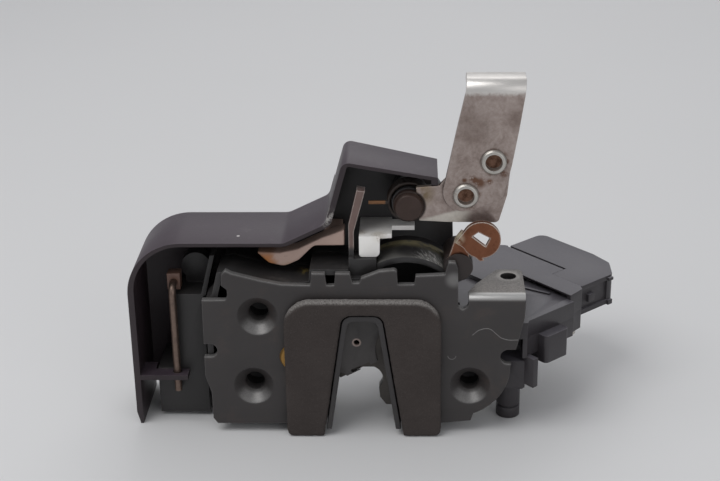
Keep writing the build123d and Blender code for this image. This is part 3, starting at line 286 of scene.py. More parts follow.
def casePlasticFinish():                # black case, worn paler, scratched and greased on the crown of its arch, with a painted shadow of the pivot across it
    look = {**blackPlastic, "dust": 0.22, "crownColour": (0.105, 0.102, 0.094), "crownShare": 0.85,
            "pivotShadow": (0.0145, 0.0095, 0.0222), "rearColour": (0.27, 0.235, 0.13), "rearShare": 0.8,
            "hatchScale": (0.00026, 0.0028, 0.0028), "hatchTurn": (0.0, 0.55, 0.45),
            "scratchColour": (0.46, 0.45, 0.43), "scratchShare": 0.85,
            "smear": (-0.0176, 0.0105, 0.0172), "smearColour": (0.29, 0.22, 0.06), "smearShare": 0.8}
    finish, colour, rough, normal = mouldedFinish("casePlastic", look)
    across, back, height = finish.axis("X"), finish.axis("Y"), finish.axis("Z")
    top = finish.upward(0.2, 0.7)
    crown = finish.between(across, 0.0042, 0.0050) * finish.between(height, 0.0170, 0.0185) * top
    crown = crown * (1.0 - finish.between(back, 0.0170, 0.0180))
    # painted shadow of the pivot: a round patch where the crown's paler colour is left out
    pivotShadow = finish.spot(look["pivotShadow"], 0.0026, 0.0062)
    colour = finish.blend(crown * (1.0 - pivotShadow) * look["crownShare"], colour, look["crownColour"])
    rear = finish.between(back, 0.0118, 0.0150) * finish.between(finish.noise(300, 4, 0.6), 0.32, 0.52)
    colour = finish.blend(crown * rear * look["rearShare"], colour, look["rearColour"])
    hatch = finish.noise(1.0, 3, 0.55, finish.stretched(look["hatchScale"], look["hatchTurn"]))
    worn = crown * finish.between(across, 0.0135, 0.0195) * (1.0 - finish.between(back, 0.0105, 0.0135))
    scratched = finish.between(hatch, 0.52, 0.60) * worn
    colour = finish.blend(scratched * look["scratchShare"], colour, look["scratchColour"])
    ragged = finish.between(finish.noise(520, 4, 0.7), 0.46, 0.58)
    smear = finish.spot(look["smear"], 0.0008, 0.0042) * ragged
    colour = finish.blend(smear * look["smearShare"], colour, look["smearColour"])
    return finish.close(colour=colour, rough=rough - scratched * 0.1, normal=normal, specular=0.5)


def modulePlasticFinish():              # grey-lilac on top, with its sides painted nearly black as shade and painted shade in its corners
    look = {"dark": (0.076, 0.071, 0.081), "light": (0.114, 0.107, 0.121), "rough": 0.44, "grain": 0.22,
            "dust": 0.16, "dustColour": (0.17, 0.16, 0.165), "rub": 0.28, "rubColour": (0.27, 0.26, 0.27),
            "edge": 0.0006, "sideShadeDark": (0.024, 0.021, 0.024), "sideShadeLight": (0.042, 0.037, 0.041),
            "cornerReach": 0.0016, "cornerShadeColour": (0.014, 0.013, 0.012), "cornerShadeShare": 0.5}
    finish, colour, rough, normal = mouldedFinish("modulePlastic", look)
    top = finish.upward(0.35, 0.85)
    paintedSideShade = finish.blend(finish.noise(90, 4, 0.6), look["sideShadeDark"], look["sideShadeLight"])
    # painted shade: the sides are coloured much darker than the top
    colour = finish.blend(1.0 - top, colour, paintedSideShade)
    # painted shade deepening the tight corners
    cornerShade = finish.cornerShade(look["cornerReach"]) * look["cornerShadeShare"]
    colour = finish.blend(cornerShade, colour, look["cornerShadeColour"])
    return finish.close(colour=colour, rough=rough, normal=normal, specular=0.5)


def coatedPlateFinish():                # black coating over steel, rubbed silvery at its edges, with painted highlights on its upper edges, dimples and shoulders
    look = {"coat": (0.024, 0.021, 0.021), "coatLight": (0.042, 0.037, 0.036), "lipWearAndHighlight": (0.25, 0.245, 0.24),
            "brown": (0.070, 0.048, 0.040), "bendColour": (0.60, 0.60, 0.59),
            "dimples": ((-0.0315, 0.0052), (-0.0335, -0.0183), (0.0324, -0.0181)), "dimpleRadius": 0.0062,
            "dimpleHighlightColour": (0.17, 0.165, 0.16), "shoulderHighlightColour": (0.30, 0.295, 0.29),
            "shoulderHighlights": (((0.0272, 0.0006, 0.0172), 0.0008, 0.0034),
                          ((-0.0428, 0.0006, 0.0128), 0.0006, 0.0026)),
            "scratchFrom": 0.0327, "scratchLong": 0.0142, "scratchFoot": -0.0026, "scratchRise": 0.0039,
            "scratchPath": ((0.0, 0.397), (0.12, 0.774), (0.317, 0.992), (0.451, 0.774), (0.588, 0.29),
                            (0.754, 0.03), (1.0, 0.018)), "scratchColour": (0.42, 0.41, 0.40),
            "nick": (0.02685, -0.00788), "nickRadius": 0.001224,
            "ear": (0.27, 0.25, 0.23), "earHole": (0.0442, 0.0145, 0.0120), "earRing": (0.46, 0.44, 0.41)}
    finish = Finish("coatedPlate")
    cloud = finish.noise(55, 5, 0.62)
    fine = finish.noise(1900, 3, 0.6)
    speck = finish.between(finish.noise(2300, 4, 0.75), 0.34, 0.68)
    across, back, height = finish.axis("X"), finish.axis("Y"), finish.axis("Z")
    # painted highlight along the upward-facing front edges; the same pale colour also marks the rubbed edges
    lipWearAndHighlight = finish.topEdge(0.0012, 0.22, 0.72) * (1.0 - finish.between(back, 0.0022, 0.0030))
    rub = finish.edge(0.0006, 0.02, 0.14) * finish.between(finish.noise(300, 5, 0.7), 0.34, 0.58)
    dimpleHighlight = 0.0
    for x, z in look["dimples"]:
        away = finish.aside(across, height, x, z)
        dimpleHighlight = dimpleHighlight + (1.0 - finish.between(away, look["dimpleRadius"] * 0.92, look["dimpleRadius"] * 1.12))
    # painted highlight on the upward-facing slopes of the dimples
    dimpleHighlight = dimpleHighlight * finish.upward(0.18, 0.74)
    # painted highlights on the bent shoulders
    shoulderHighlight = 0.0
    for place, inner, outer in look["shoulderHighlights"]:
        shoulderHighlight = shoulderHighlight + finish.spot(place, inner, outer)
    ear = finish.between(height, 0.0094, 0.0108) * finish.between(across, 0.0310, 0.0318)
    ear = ear * finish.upward(0.25, 0.85)
    bend = ear * (1.0 - finish.between(back, 0.0016, 0.0030))
    ring = finish.spot(look["earHole"], 0.0025, 0.0046)
    along = (across - look["scratchFrom"]) / look["scratchLong"]
    rise = finish.add("ShaderNodeValToRGB", {"stops": look["scratchPath"], "ease": "CARDINAL"},
                      {"Fac": along}, "Color")
    gap = finish.absolute(height - (rise * look["scratchRise"] + look["scratchFoot"]))
    inside = finish.between(along, 0.0, 0.03) * (1.0 - finish.between(along, 0.97, 1.0))
    scratch = (1.0 - finish.between(gap, 0.00006, 0.00018)) * inside
    offRing = finish.absolute(finish.aside(across, height, *look["nick"]) - look["nickRadius"])
    nick = 1.0 - finish.between(offRing, 0.00005, 0.00018)
    nick = nick * (1.0 - finish.between(height, -0.0082, -0.0078))
    colour = finish.blend(cloud, look["coat"], look["coatLight"])
    stained = finish.between(finish.noise(90, 4, 0.7), 0.50, 0.75)
    colour = finish.blend(stained * 0.35, colour, look["brown"])
    colour = finish.blend(rub * 0.45, colour, look["lipWearAndHighlight"])
    colour = finish.blend(lipWearAndHighlight * (0.55 + speck * 0.35), colour, look["lipWearAndHighlight"])
    colour = finish.blend(shoulderHighlight * 0.42, colour, look["shoulderHighlightColour"])
    colour = finish.blend(dimpleHighlight * (0.18 + speck * 0.24), colour, look["dimpleHighlightColour"])
    colour = finish.blend(ear * (0.30 + speck * 0.50), colour, look["ear"])
    colour = finish.blend(ring * ear * 0.35, colour, look["earRing"])
    colour = finish.blend(bend * 0.75, colour, look["bendColour"])
    colour = finish.blend((scratch * 0.55 + nick * 0.4) * (0.5 + speck * 0.5), colour, look["scratchColour"])
    # metallic where the ear is bare and where highlights are painted
    bareAndHighlit = finish.atMost(lipWearAndHighlight * 0.5 + dimpleHighlight * 0.15 + ear * 0.5, 0.8)
    rough = 0.40 + 0.12 * cloud + 0.08 * (fine - 0.5) - bareAndHighlit * 0.06
    normal = finish.bump(fine * 0.5 + finish.noise(320, 3, 0.5) * 0.5, 0.14, 0.0001)
    return finish.close(colour=colour, rough=rough, metal=bareAndHighlit * 0.85, normal=normal, specular=0.5)


def foamFinish():                       # open foam, paler where its fibres stand up along the edges, with a painted highlight along its top edges
    look = {"dark": (0.034, 0.028, 0.026), "light": (0.066, 0.055, 0.051), "fuzz": (0.12, 0.105, 0.10),
            "rim": (0.20, 0.18, 0.165), "crestHighlight": (0.30, 0.285, 0.27)}
    finish = Finish("foam")
    cloud = finish.noise(70, 5, 0.65)
    pores = finish.cells(1500)
    fuzz = finish.noise(2600, 4, 0.75)
    rim = finish.edge(0.0014, 0.02, 0.30)
    # painted highlight along the upward-facing top edges
    crestHighlight = finish.topEdge(0.0016, 0.18, 0.66)
    colour = finish.blend(cloud, look["dark"], look["light"])
    colour = finish.blend(finish.between(fuzz, 0.50, 0.75) * 0.5, colour, look["fuzz"])
    colour = finish.blend(rim * finish.between(fuzz, 0.45, 0.70) * 0.40, colour, look["rim"])
    colour = finish.blend(crestHighlight * finish.between(fuzz, 0.30, 0.58) * 0.80, colour, look["crestHighlight"])
    normal = finish.bump(pores * 0.6 + fuzz * 0.7, 0.75, 0.00022)
    return finish.close(colour=colour, rough=0.92, normal=normal, specular=0.25)


leverPivot = (0.0139, 0.0387)           # X and Z of the outer lever's pivot
leverRivets = ((0.0384, 0.0531), (0.0305, 0.0427))


def leverSteelFinish():                 # zinc-plated steel, dulled, with rust round its rivets, and painted shade high up, in its corners and round its pivot
    look = {"zinc": (0.47, 0.40, 0.37), "dull": (0.25, 0.195, 0.172), "rust": (0.115, 0.045, 0.018),
            "face": 0.003, "rustInner": 0.0036, "rustOuter": 0.0052,
            "stains": ((0.0325, 0.0478, 0.0012), (0.0345, 0.0468, 0.0016), (0.0373, 0.0471, 0.0009),
                       (0.0414, 0.0495, 0.0010), (0.0421, 0.0534, 0.0007), (0.0300, 0.0476, 0.0007)),
            "dark": (((0.0326, 0.003, 0.0636), 0.001, 0.007), ((0.0446, 0.003, 0.0660), 0.0005, 0.0055)),
            "darkColour": (0.17, 0.125, 0.105), "lowColour": (0.66, 0.63, 0.57), "lowFrom": 0.0165,
            "lowSlope": 0.264, "bandFoot": 0.0730, "bandColour": (0.74, 0.72, 0.69),
            "edgeColour": (0.62, 0.59, 0.54), "grease": (0.0168, 0.005, 0.0430),
            "greaseColour": (0.17, 0.115, 0.035), "cornerShadeColour": (0.045, 0.028, 0.022),
            "pivotShadeColour": (0.030, 0.018, 0.014)}
    finish = Finish("leverSteel")
    mottle = finish.noise(170, 6, 0.70, None, 0.5)
    grainy = finish.noise(900, 4, 0.7)
    fine = finish.noise(2200, 3, 0.65)
    across, height = finish.axis("X"), finish.axis("Z")
    ragged = finish.noise(700, 4, 0.7)
    patchy = finish.between(finish.noise(330, 5, 0.7), 0.52, 0.66)
    near = 0.0
    for x, z in leverRivets:
        near = near + finish.spot((x, look["face"], z), look["rustInner"], look["rustOuter"]) * patchy * 0.7
    for x, z, size in look["stains"]:
        stain = finish.spot((x, look["face"], z), size * 0.35, size * 1.5)
        near = near + stain * finish.between(ragged, 0.34, 0.50)
    specks = finish.between(grainy, 0.68, 0.76)
    # painted shade: two darker patches high on the lever
    shaded = 0.0
    for place, inner, outer in look["dark"]:
        shaded = shaded + finish.spot(place, inner, outer)
    low = 1.0 - finish.between(height - (across - look["lowFrom"]) * look["lowSlope"], 0.0338, 0.0348)
    low = low * (1.0 - finish.between(across, 0.0300, 0.0330))
    # painted shade: the lever darkened round its pivot
    darkRoundPivot = 1.0 - finish.between(finish.aside(across, height, *leverPivot), 0.0047, 0.0054)
    band = finish.between(height + (ragged - 0.5) * 0.0022, look["bandFoot"] - 0.0004, look["bandFoot"] + 0.0012)
    edge = finish.edge(0.0005, 0.02, 0.16)
    greased = finish.spot(look["grease"], 0.0015, 0.0062) * finish.between(finish.noise(240, 4, 0.6), 0.34, 0.56)
    shade = finish.between(mottle, 0.28, 0.66) * 0.55 + finish.between(grainy, 0.30, 0.70) * 0.30 + fine * 0.15
    colour = finish.blend(shade, look["dull"], look["zinc"])
    colour = finish.blend(shaded * 0.45, colour, look["darkColour"])
    colour = finish.blend(low * (0.55 + grainy * 0.45), colour, look["lowColour"])
    colour = finish.blend(band * 0.92, colour, look["bandColour"])
    colour = finish.blend(edge * 0.5, colour, look["edgeColour"])
    colour = finish.blend(greased * 0.7, colour, look["greaseColour"])
    # painted shade deepening the corners between the plates
    colour = finish.blend(finish.cornerShade(0.0010, 0.45, 0.95) * 0.8, colour, look["cornerShadeColour"])
    rust = finish.atMost(near * 0.9 + specks * 0.4, 0.92)
    colour = finish.blend(rust, colour, look["rust"])
    colour = finish.blend(darkRoundPivot, colour, look["pivotShadeColour"])
    rough = 0.40 + 0.18 * (1.0 - shade) + rust * 0.35 - band * 0.08
    metal = 0.90 - rust * 0.8 - greased * 0.3 - darkRoundPivot * 0.6
    normal = finish.bump(mottle * 0.5 + grainy * 0.3 + fine * 0.2 + rust * 0.8, 0.22, 0.00012)
    return finish.close(colour=colour, rough=rough, metal=metal, normal=normal)


def rivetFinish(name, cups=()):         # bright rivet steel, with rusty dishes where cups gives their places
    look = {"dull": (0.38, 0.36, 0.33), "bright": (0.62, 0.60, 0.56), "edge": (0.82, 0.80, 0.77),
            "rust": (0.17, 0.075, 0.035), "cupInner": 0.00225, "cupOuter": 0.00255,
            "cupDark": (0.075, 0.028, 0.012), "cupLight": (0.24, 0.13, 0.085)}
    finish = Finish(name)
    mottle = finish.noise(420, 5, 0.65)
    edge = finish.edge(0.0005, 0.02, 0.14)
    rust = finish.between(finish.noise(700, 4, 0.7), 0.60, 0.72) * 0.6
    colour = finish.blend(mottle, look["dull"], look["bright"])
    colour = finish.blend(edge * 0.7, colour, look["edge"])
    colour = finish.blend(rust, colour, look["rust"])
    across, height = finish.axis("X"), finish.axis("Z")
    inside = 0.0
    for x, z in cups:
        away = finish.aside(across, height, x, z)
        inside = inside + (1.0 - finish.between(away, look["cupInner"], look["cupOuter"]))
    if cups:
        flaky = finish.between(finish.noise(520, 5, 0.7), 0.34, 0.62)
        colour = finish.blend(inside, colour, finish.blend(flaky, look["cupDark"], look["cupLight"]))
    normal = finish.bump(mottle, 0.2, 0.0001)
    return finish.close(colour=colour, rough=0.32 + mottle * 0.14 + rust * 0.3 + inside * 0.25,
                        metal=0.95 - rust * 0.7 - inside * 0.5, normal=normal)


def pivotFinish():                      # the dark oiled head of the outer lever's pivot, with a painted highlight on its right rim
    look = {"dark": (0.028, 0.016, 0.013), "light": (0.060, 0.036, 0.028), "rimHighlight": (0.52, 0.45, 0.36),
            "rimHighlightFrom": 0.0135, "rimHighlightTo": 0.0172}
    finish = Finish("oiledPivot")
    mottle = finish.noise(300, 5, 0.65)
    fine = finish.noise(1800, 3, 0.6)
    rimHighlight = finish.edge(0.0006, 0.02, 0.14)
    rimHighlight = rimHighlight * finish.between(finish.axis("X"), look["rimHighlightFrom"], look["rimHighlightTo"])
    colour = finish.blend(mottle, look["dark"], look["light"])
    colour = finish.blend(rimHighlight * 0.85, colour, look["rimHighlight"])
    normal = finish.bump(mottle * 0.5 + fine * 0.5, 0.2, 0.0001)
    return finish.close(colour=colour, rough=0.42 + fine * 0.1, metal=0.35 + rimHighlight * 0.5, normal=normal)


def zincSheetFinish():                  # white-plated sheet, brown specks in its inner corner
    look = {"dull": (0.84, 0.82, 0.78), "bright": (0.95, 0.94, 0.91), "edge": (0.90, 0.89, 0.87),
            "dirt": (0.42, 0.33, 0.18), "rust": (0.16, 0.075, 0.028),
            "dirty": (((0.0049, 0.0068, 0.0291), 0.0004, 0.0034), ((-0.0006, 0.0085, 0.0291), 0.0003, 0.0030))}
    finish = Finish("zincSheet")
    mottle = finish.noise(240, 5, 0.62)
    specks = finish.between(finish.noise(1100, 5, 0.75), 0.55, 0.64)
    dirty = 0.0
    for place, inner, outer in look["dirty"]:
        dirty = dirty + finish.spot(place, inner, outer)
    rust = specks * dirty * 0.85
    edge = finish.edge(0.0005, 0.02, 0.14)
    colour = finish.blend(mottle, look["dull"], look["bright"])
    colour = finish.blend(edge * 0.6, colour, look["edge"])
    colour = finish.blend(dirty * 0.30, colour, look["dirt"])
    colour = finish.blend(rust, colour, look["rust"])
    normal = finish.bump(mottle + rust, 0.12, 0.0001)
    return finish.close(colour=colour, rough=0.34 + mottle * 0.12 + rust * 0.3, metal=0.15 - rust * 0.1,
                        normal=normal)


def bronzeFinish():                     # bronze-brown lever with a worn bright rim, brighter along its upper edges as a painted highlight, and old pale grease on its tab
    look = {"dark": (0.135, 0.050, 0.026), "light": (0.26, 0.105, 0.055), "stain": (0.105, 0.038, 0.018),
            "rim": (0.84, 0.79, 0.71), "tab": (0.0282, 0.0022, 0.0302), "grease": (0.50, 0.45, 0.33)}
    finish = Finish("bronzeLever")
    mottle = finish.noise(260, 5, 0.66)
    edge = finish.edge(0.0008, 0.03, 0.14)
    stain = finish.between(finish.noise(420, 5, 0.7), 0.50, 0.68)
    tab = finish.spot(look["tab"], 0.0012, 0.0032) * finish.between(finish.noise(620, 4, 0.7), 0.34, 0.50)
    colour = finish.blend(mottle, look["dark"], look["light"])
    colour = finish.blend(stain * 0.5, colour, look["stain"])
    # the rim is edge wear, made brighter along upward-facing edges as a painted highlight
    colour = finish.blend(edge * (0.45 + finish.topEdge(0.0006, 0.1, 0.6) * 0.5), colour, look["rim"])
    colour = finish.blend(tab * 0.9, colour, look["grease"])
    normal = finish.bump(mottle + tab * 0.8, 0.2, 0.0001)
    return finish.close(colour=colour, rough=0.36 + mottle * 0.12 + tab * 0.15, metal=0.75 - tab * 0.6,
                        normal=normal)


def amberFinish():                      # yellow passivated rivet head
    look = {"dark": (0.22, 0.115, 0.03), "light": (0.42, 0.25, 0.075), "edge": (0.62, 0.46, 0.22)}
    finish = Finish("yellowPassivated")
    mottle = finish.noise(380, 5, 0.62)
    edge = finish.edge(0.0005)
    colour = finish.blend(mottle, look["dark"], look["light"])
    colour = finish.blend(edge * 0.4, colour, look["edge"])
    return finish.close(colour=colour, rough=0.34 + mottle * 0.1, metal=0.8,
                        normal=finish.bump(mottle, 0.12, 0.0001))


def wireFinish(name, dull, bright):     # drawn metal with a little grime
    look = {"grime": (0.09, 0.07, 0.06), "grimeShare": 0.5}
    finish = Finish(name)
    drawn = finish.noise(900, 3, 0.6)
    grime = finish.between(finish.noise(180, 4, 0.65), 0.52, 0.70)
    colour = finish.blend(drawn, dull, bright)
    colour = finish.blend(grime * look["grimeShare"], colour, look["grime"])
    return finish.close(colour=colour, rough=0.34 + drawn * 0.14 + grime * 0.2, metal=0.85,
                        normal=finish.bump(drawn, 0.12, 0.00008))


def hardSteelFinish():                  # dark hardened steel of the catch and the pawl
    look = {"dark": (0.045, 0.041, 0.038), "light": (0.10, 0.092, 0.085), "edge": (0.30, 0.28, 0.26),
            "drawScale": (0.0030, 0.0004, 0.0004)}
    finish = Finish("hardSteel")
    mottle = finish.noise(180, 5, 0.6)
    drawn = finish.noise(1.0, 3, 0.6, finish.stretched(look["drawScale"]))
    edge = finish.edge(0.0005)
    colour = finish.blend(mottle, look["dark"], look["light"])
    colour = finish.blend(edge * 0.35, colour, look["edge"])
    return finish.close(colour=colour, rough=0.38 + mottle * 0.14, metal=0.8,
                        normal=finish.bump(drawn, 0.12, 0.0001))


def beigeFinish():                      # the release bar, greased orange at its lobe, with painted shade darkening its left end under the cover and a painted shadow above
    look = {"dark": (0.42, 0.29, 0.24), "light": (0.54, 0.40, 0.34), "lobe": (0.15, 0.08, 0.045),
            "lobeFrom": -0.0252, "lobeTo": -0.0282, "orange": (0.50, 0.17, 0.025), "foot": (0.40, 0.28, 0.08),
            "shadow": (0.05, 0.035, 0.03), "dirt": (0.09, 0.05, 0.035)}
    finish = Finish("beigeBar")
    cloud = finish.noise(120, 4, 0.6)
    flow = finish.noise(260, 5, 0.65, None, 0.8)
    dirt = finish.between(finish.noise(900, 5, 0.75), 0.62, 0.70)
    across, height = finish.axis("X"), finish.axis("Z")
    left = 1.0 - finish.between(across + (flow - 0.5) * 0.006, look["lobeTo"], look["lobeFrom"])
    orange = left * (1.0 - finish.between(height, 0.0212, 0.0236))
    foot = (1.0 - finish.between(height, 0.0182, 0.0205)) * finish.between(flow, 0.44, 0.62)
    shadow = finish.between(height, 0.0236, 0.0280) * left
    colour = finish.blend(cloud, look["dark"], look["light"])
    # painted shade: the left end darkened where it runs under the cover
    colour = finish.blend(left * 0.62, colour, look["lobe"])
    colour = finish.blend(orange * (0.30 + flow * 0.7), colour, look["orange"])
    colour = finish.blend(foot * 0.5, colour, look["foot"])
    colour = finish.blend(shadow * 0.6, colour, look["shadow"])
    colour = finish.blend(dirt * 0.5, colour, look["dirt"])
    return finish.close(colour=colour, rough=0.36 + cloud * 0.14, normal=finish.bump(flow, 0.14, 0.0002),
                        specular=0.5)


def coilFinish():                       # the lever's spring: a dark oiled coil with a coppery leg
    look = {"oilDark": (0.016, 0.011, 0.009), "oilLight": (0.034, 0.022, 0.017),
            "copperDark": (0.12, 0.062, 0.032), "copperLight": (0.30, 0.155, 0.08),
            "coilEdge": 0.0067, "legFrom": 0.0072}
    finish = Finish("leverSpringWire")
    drawn = finish.noise(900, 3, 0.6)
    away = finish.aside(finish.axis("X"), finish.axis("Z"), *leverPivot)
    leg = finish.between(away, look["coilEdge"], look["legFrom"])
    darkRoundPivot = finish.blend(drawn, look["oilDark"], look["oilLight"])
    colour = finish.blend(leg, darkRoundPivot, finish.blend(drawn, look["copperDark"], look["copperLight"]))
    return finish.close(colour=colour, rough=0.42 + drawn * 0.1, metal=0.25 + leg * 0.55,
                        normal=finish.bump(drawn, 0.12, 0.00008))


def bladeFinish():                      # the dark guide bracket, whose upright blade is brownish with a pale rim
    look = {**blackPlastic, "dust": 0.20, "bladeFoot": 0.0240, "bladeFull": 0.0262,
            "bladeDark": (0.105, 0.066, 0.056), "bladeLight": (0.20, 0.135, 0.12), "rim": (0.60, 0.54, 0.50)}
    finish, colour, rough, normal = mouldedFinish("guideBracketPlastic", look)
    blade = finish.between(finish.axis("Z"), look["bladeFoot"], look["bladeFull"])
    cloud = finish.noise(260, 4, 0.6)
    colour = finish.blend(blade, colour, finish.blend(cloud, look["bladeDark"], look["bladeLight"]))
    rim = blade * finish.edge(0.0005, 0.02, 0.14)
    colour = finish.blend(rim * 0.8, colour, look["rim"])
    return finish.close(colour=colour, rough=rough, normal=normal, specular=0.5)


def plainMouldFinish(name, dark, light, rough, edgeColour=None, ring=None):     # ring: a painted pool of light round a small hole
    look = {"edgeShare": 0.25, "holeLightColour": (0.46, 0.36, 0.32), "ringInner": 0.0011, "ringOuter": 0.0016}
    finish = Finish(name)
    cloud = finish.noise(130, 4, 0.6)
    fine = finish.noise(1800, 2, 0.6)
    edge = finish.edge(0.0005)
    colour = finish.blend(cloud, dark, light)
    edgeColour = edgeColour or tuple(min(1.0, value * 2.2 + 0.03) for value in light)
    colour = finish.blend(edge * look["edgeShare"], colour, edgeColour)
    if ring:
        # painted light round the hole
        holeLight = finish.spot(ring, look["ringInner"], look["ringOuter"])
        colour = finish.blend(holeLight * 0.85, colour, look["holeLightColour"])
    return finish.close(colour=colour, rough=rough + 0.12 * (fine - 0.5), normal=finish.bump(fine, 0.2, 0.0001))


sleeveHole = (-0.0021, 0.0048, -0.0059)
finishes = {
    "cover": coverFinish(), "case": casePlasticFinish(), "module": modulePlasticFinish(),
    "plate": coatedPlateFinish(), "foam": foamFinish(), "lever": leverSteelFinish(),
    "rivet": rivetFinish("rivetSteel"), "cupped": rivetFinish("leverRivetSteel", leverRivets),
    "pivot": pivotFinish(), "zinc": zincSheetFinish(), "bronze": bronzeFinish(), "amber": amberFinish(),
    "copper": wireFinish("springWire", (0.085, 0.045, 0.022), (0.26, 0.13, 0.065)),
    "rod": wireFinish("rodWire", (0.115, 0.080, 0.066), (0.26, 0.19, 0.155)),
    "hard": hardSteelFinish(), "beige": beigeFinish(), "coil": coilFinish(), "blade": bladeFinish(),
    "sleeve": plainMouldFinish("sleevePlastic", (0.040, 0.036, 0.036), (0.070, 0.064, 0.062), 0.42,
                               (0.18, 0.17, 0.165), sleeveHole),
    "switch": plainMouldFinish("switchPlastic", (0.040, 0.036, 0.060), (0.070, 0.064, 0.10), 0.42),
    "liner": plainMouldFinish("linerPlastic", (0.022, 0.020, 0.021), (0.040, 0.037, 0.037), 0.48),
    "clip": plainMouldFinish("brownClip", (0.115, 0.062, 0.045), (0.18, 0.105, 0.08), 0.45),
    "post": plainMouldFinish("postPlastic", (0.014, 0.009, 0.008), (0.028, 0.018, 0.015), 0.46),
    "rubber": plainMouldFinish("stopRubber", (0.016, 0.016, 0.016), (0.030, 0.029, 0.028), 0.7),
    "white": plainMouldFinish("wheelPlastic", (0.62, 0.60, 0.54), (0.74, 0.72, 0.67), 0.4),
    "tin": wireFinish("tinPins", (0.50, 0.49, 0.46), (0.68, 0.67, 0.64)),
    "brass": wireFinish("wormBrass", (0.42, 0.28, 0.10), (0.62, 0.46, 0.20)),
}
print("stage: finishes made,", len(finishes))


def only(piece):
    bpy.ops.object.select_all(action="DESELECT")
    piece.select_set(True)
    bpy.context.view_layer.objects.active = piece


def applyAll(piece):
    only(piece)
    for modifier in list(piece.modifiers):
        bpy.ops.object.modifier_apply(modifier=modifier.name)


def give(piece, finish):
    piece.data.materials.clear()
    piece.data.materials.append(finishes[finish])


def mergedCopy(node, name):             # the node's loose triangles joined into one clean surface
    clean = {"joinWithin": 0.000004, "flatWithin": 0.6}
    piece = frame["nodes"][node].copy()
    piece.data = piece.data.copy()
    for key in [key for key in piece.keys() if key.startswith("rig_")]:
        del piece[key]
    piece.name = name
    piece.parent = None
    piece.matrix_world = Matrix.Identity(4)
    bpy.context.scene.collection.objects.link(piece)
    only(piece)
    bpy.ops.object.mode_set(mode="EDIT")
    bpy.ops.mesh.select_all(action="SELECT")
    bpy.ops.mesh.remove_doubles(threshold=clean["joinWithin"])
    bpy.ops.mesh.dissolve_limited(angle_limit=math.radians(clean["flatWithin"]))
    bpy.ops.object.mode_set(mode="OBJECT")
    return piece


def standFor(piece, node):
    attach(piece, body_of(frame["nodes"][node])[0])
    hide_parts(node)


# Each rigid node that gets broken edges: its finish, the width of the edges in mm and its name here
dressed = {
    "latch_plate": ("plate", 0.45, "facePlate"), "latch_case": ("case", 0.25, "latchCase"),
    "rear_case": ("case", 0.35, "rearCase"), "cover_shroud": ("cover", 0.40, "coverShroud"),
    "mouth_liner": ("liner", 0.25, "mouthLining"), "catch": ("hard", 0.20, "rotaryCatch"),
    "catch_sleeve": ("sleeve", 0.20, "catchSleeve"), "catch_pivot": ("rivet", 0.20, "catchRivet"),
    "pawl_pivot": ("amber", 0.20, "pawlRivet"), "pawl": ("hard", 0.20, "pawlPiece"),
    "guide_bracket": ("blade", 0.25, "guideBracket"),
    "coupling_link": ("zinc", 0.20, "couplingLink"), "outer_lever": ("lever", 0.22, "outerLever"),
    "lever_extension": ("lever", 0.22, "leverExtension"), "lever_rivets": ("cupped", 0.22, "leverRivets"),
    "lever_pivot": ("pivot", 0.28, "leverPivotHead"), "eye_lever": ("bronze", 0.18, "ringLever"),
    "eye_lever_post": ("post", 0.30, "ringLeverPost"), "rod_clip": ("clip", 0.30, "rodClip"),
    "actuator_housing": ("module", 0.40, "moduleShell"), "actuator_cover": ("module", 0.45, "moduleLid"),
    "plug_socket": ("module", 0.30, "plugSocket"),
    "inside_lever": ("zinc", 0.22, "insideLever"), "inside_lever_pin": ("rivet", 0.2, "insideLeverRivet"),
    "lock_crank": ("zinc", 0.22, "lockCrank"), "back_plate": ("plate", 0.22, "backPlate"),
    "lid_screws": ("rivet", 0.15, "moduleScrews"),
}
# Each rigid node that keeps its own surface, and its finish
plain = {
    "pawl_follower_pin": "rivet", "catch_spring": "copper", "pawl_spring": "copper", "lever_spring": "coil",
    "striker_buffer": "rubber", "catch_stop": "rubber", "lock_rod": "rod", "lever_bush": "liner",
    "lock_motor": "zinc", "motor_worm": "brass", "worm_wheel": "white", "wheel_pin": "rivet",
    "lock_switch": "switch", "connector_pins": "tin",
}


def dressNodes():
    edges = {"sharpAbove": 38, "smoothBelow": 32, "wideAbove": 0.4, "wideSteps": 3, "narrowSteps": 2}
    for node, (finish, width, name) in dressed.items():
        piece = mergedCopy(node, name)
        bevel = piece.modifiers.new("brokenEdges", "BEVEL")
        bevel.limit_method = "ANGLE"
        bevel.angle_limit = math.radians(edges["sharpAbove"])
        bevel.width = width * mm
        bevel.segments = edges["wideSteps"] if width > edges["wideAbove"] else edges["narrowSteps"]
        bevel.use_clamp_overlap = True
        bevel.harden_normals = False
        applyAll(piece)
        only(piece)
        bpy.ops.object.shade_smooth_by_angle(angle=math.radians(edges["smoothBelow"]))
        give(piece, finish)
        standFor(piece, node)
    for node, finish in plain.items():
        give(frame["nodes"][node], finish)


dressNodes()
print("stage: rigid pieces dressed,", len(dressed), "replaced and", len(plain), "kept")


def rounded(piece, look):               # the piece's surface built anew, all its edges softened
    remesh = piece.modifiers.new("remesh", "REMESH")
    remesh.mode = "VOXEL"
    remesh.voxel_size = look["voxel"] * mm
    smooth = piece.modifiers.new("smooth", "SMOOTH")
    smooth.factor = look["softness"]
    smooth.iterations = look["soften"]
    applyAll(piece)


def pushed(piece, name, lumps, level, strength):        # clouds that press the surface in and out
    push = piece.modifiers.new(name, "DISPLACE")
    push.texture = lumps
    push.texture_coords = "LOCAL"
    push.mid_level = level
    push.strength = strength * mm


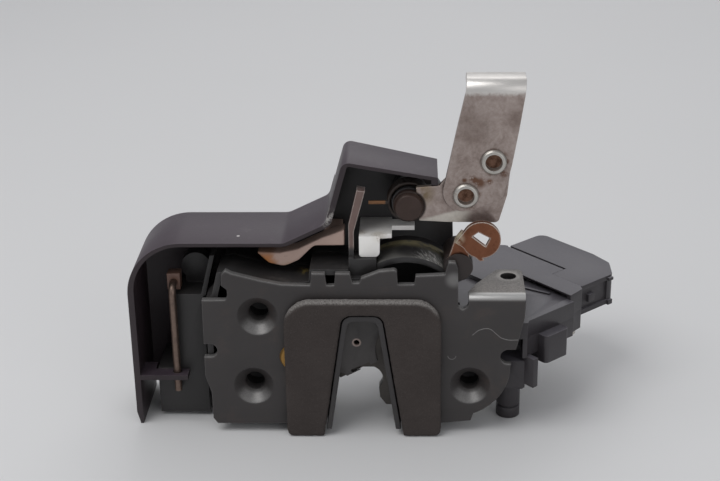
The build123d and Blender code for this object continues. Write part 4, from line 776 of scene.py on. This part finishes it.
def foamPad():                          # soft pad with crowned faces and frayed edges
    pad = {"voxel": 0.55, "softness": 0.5, "soften": 9, "fray": 0.28, "frayScale": 1.1, "frayDepth": 3,
           "frayLevel": 0.62, "press": 0.16, "pressScale": 9, "pressLevel": 0.85}
    piece = mergedCopy("foam_seal", "foamPad")
    rounded(piece, pad)
    lumps = bpy.data.textures.new("foamLumps", "CLOUDS")
    lumps.noise_scale = pad["frayScale"] * mm
    lumps.noise_depth = pad["frayDepth"]
    pushed(piece, "fray", lumps, pad["frayLevel"], pad["fray"])
    dents = bpy.data.textures.new("foamDents", "CLOUDS")
    dents.noise_scale = pad["pressScale"] * mm
    pushed(piece, "press", dents, pad["pressLevel"], pad["press"])
    applyAll(piece)
    only(piece)
    bpy.ops.object.shade_smooth()
    give(piece, "foam")
    standFor(piece, "foam_seal")


foamPad()
print("stage: foam pad made")


def releaseBar():                       # the moulded bar, whose lobe is rounded all over
    bar = {"voxel": 0.30, "softness": 0.5, "soften": 14}
    piece = mergedCopy("release_bar", "releaseBar")
    rounded(piece, bar)
    only(piece)
    bpy.ops.object.shade_smooth()
    give(piece, "beige")
    standFor(piece, "release_bar")


releaseBar()
print("stage: release bar made")


def setLight():
    light = {"sky": 0.42, "skyColour": (0.95, 0.96, 1.0),
             "lamps": (("keyLamp", (-0.35, -0.25, 0.75), 0.6, 3.2), ("fillLamp", (0.55, -0.75, 0.35), 0.7, 1.1),
                       ("backLamp", (0.10, 0.75, 0.65), 0.7, 1.6))}
    for name, place, size, power in light["lamps"]:
        lamp = bpy.data.lights.new(name, "AREA")
        lamp.shape = "SQUARE"
        lamp.size = size
        lamp.energy = power
        stand = bpy.data.objects.new(name, lamp)
        stand.location = place
        stand.rotation_euler = (-Vector(place)).to_track_quat("-Z", "Y").to_euler()
        bpy.context.scene.collection.objects.link(stand)
    world = bpy.data.worlds.new("studio")
    world.use_nodes = True
    sky = world.node_tree.nodes["Background"]
    sky.inputs["Color"].default_value = (*light["skyColour"], 1)
    sky.inputs["Strength"].default_value = light["sky"]
    bpy.context.scene.world = world


def layFloor():
    ground = {"size": 6, "dark": (0.70, 0.70, 0.70), "light": (0.74, 0.74, 0.74), "rough": 0.6}
    bpy.ops.object.select_all(action="DESELECT")
    bpy.ops.mesh.primitive_plane_add(size=ground["size"], location=(0, 0, standHeight))
    floor = bpy.context.active_object
    floor.name = "floor"
    finish = Finish("paleFloor")
    colour = finish.blend(finish.noise(3), ground["dark"], ground["light"])
    floor.data.materials.append(finish.close(colour=colour, rough=ground["rough"]))


setLight()
layFloor()
bpy.context.scene.view_settings.view_transform = "Standard"
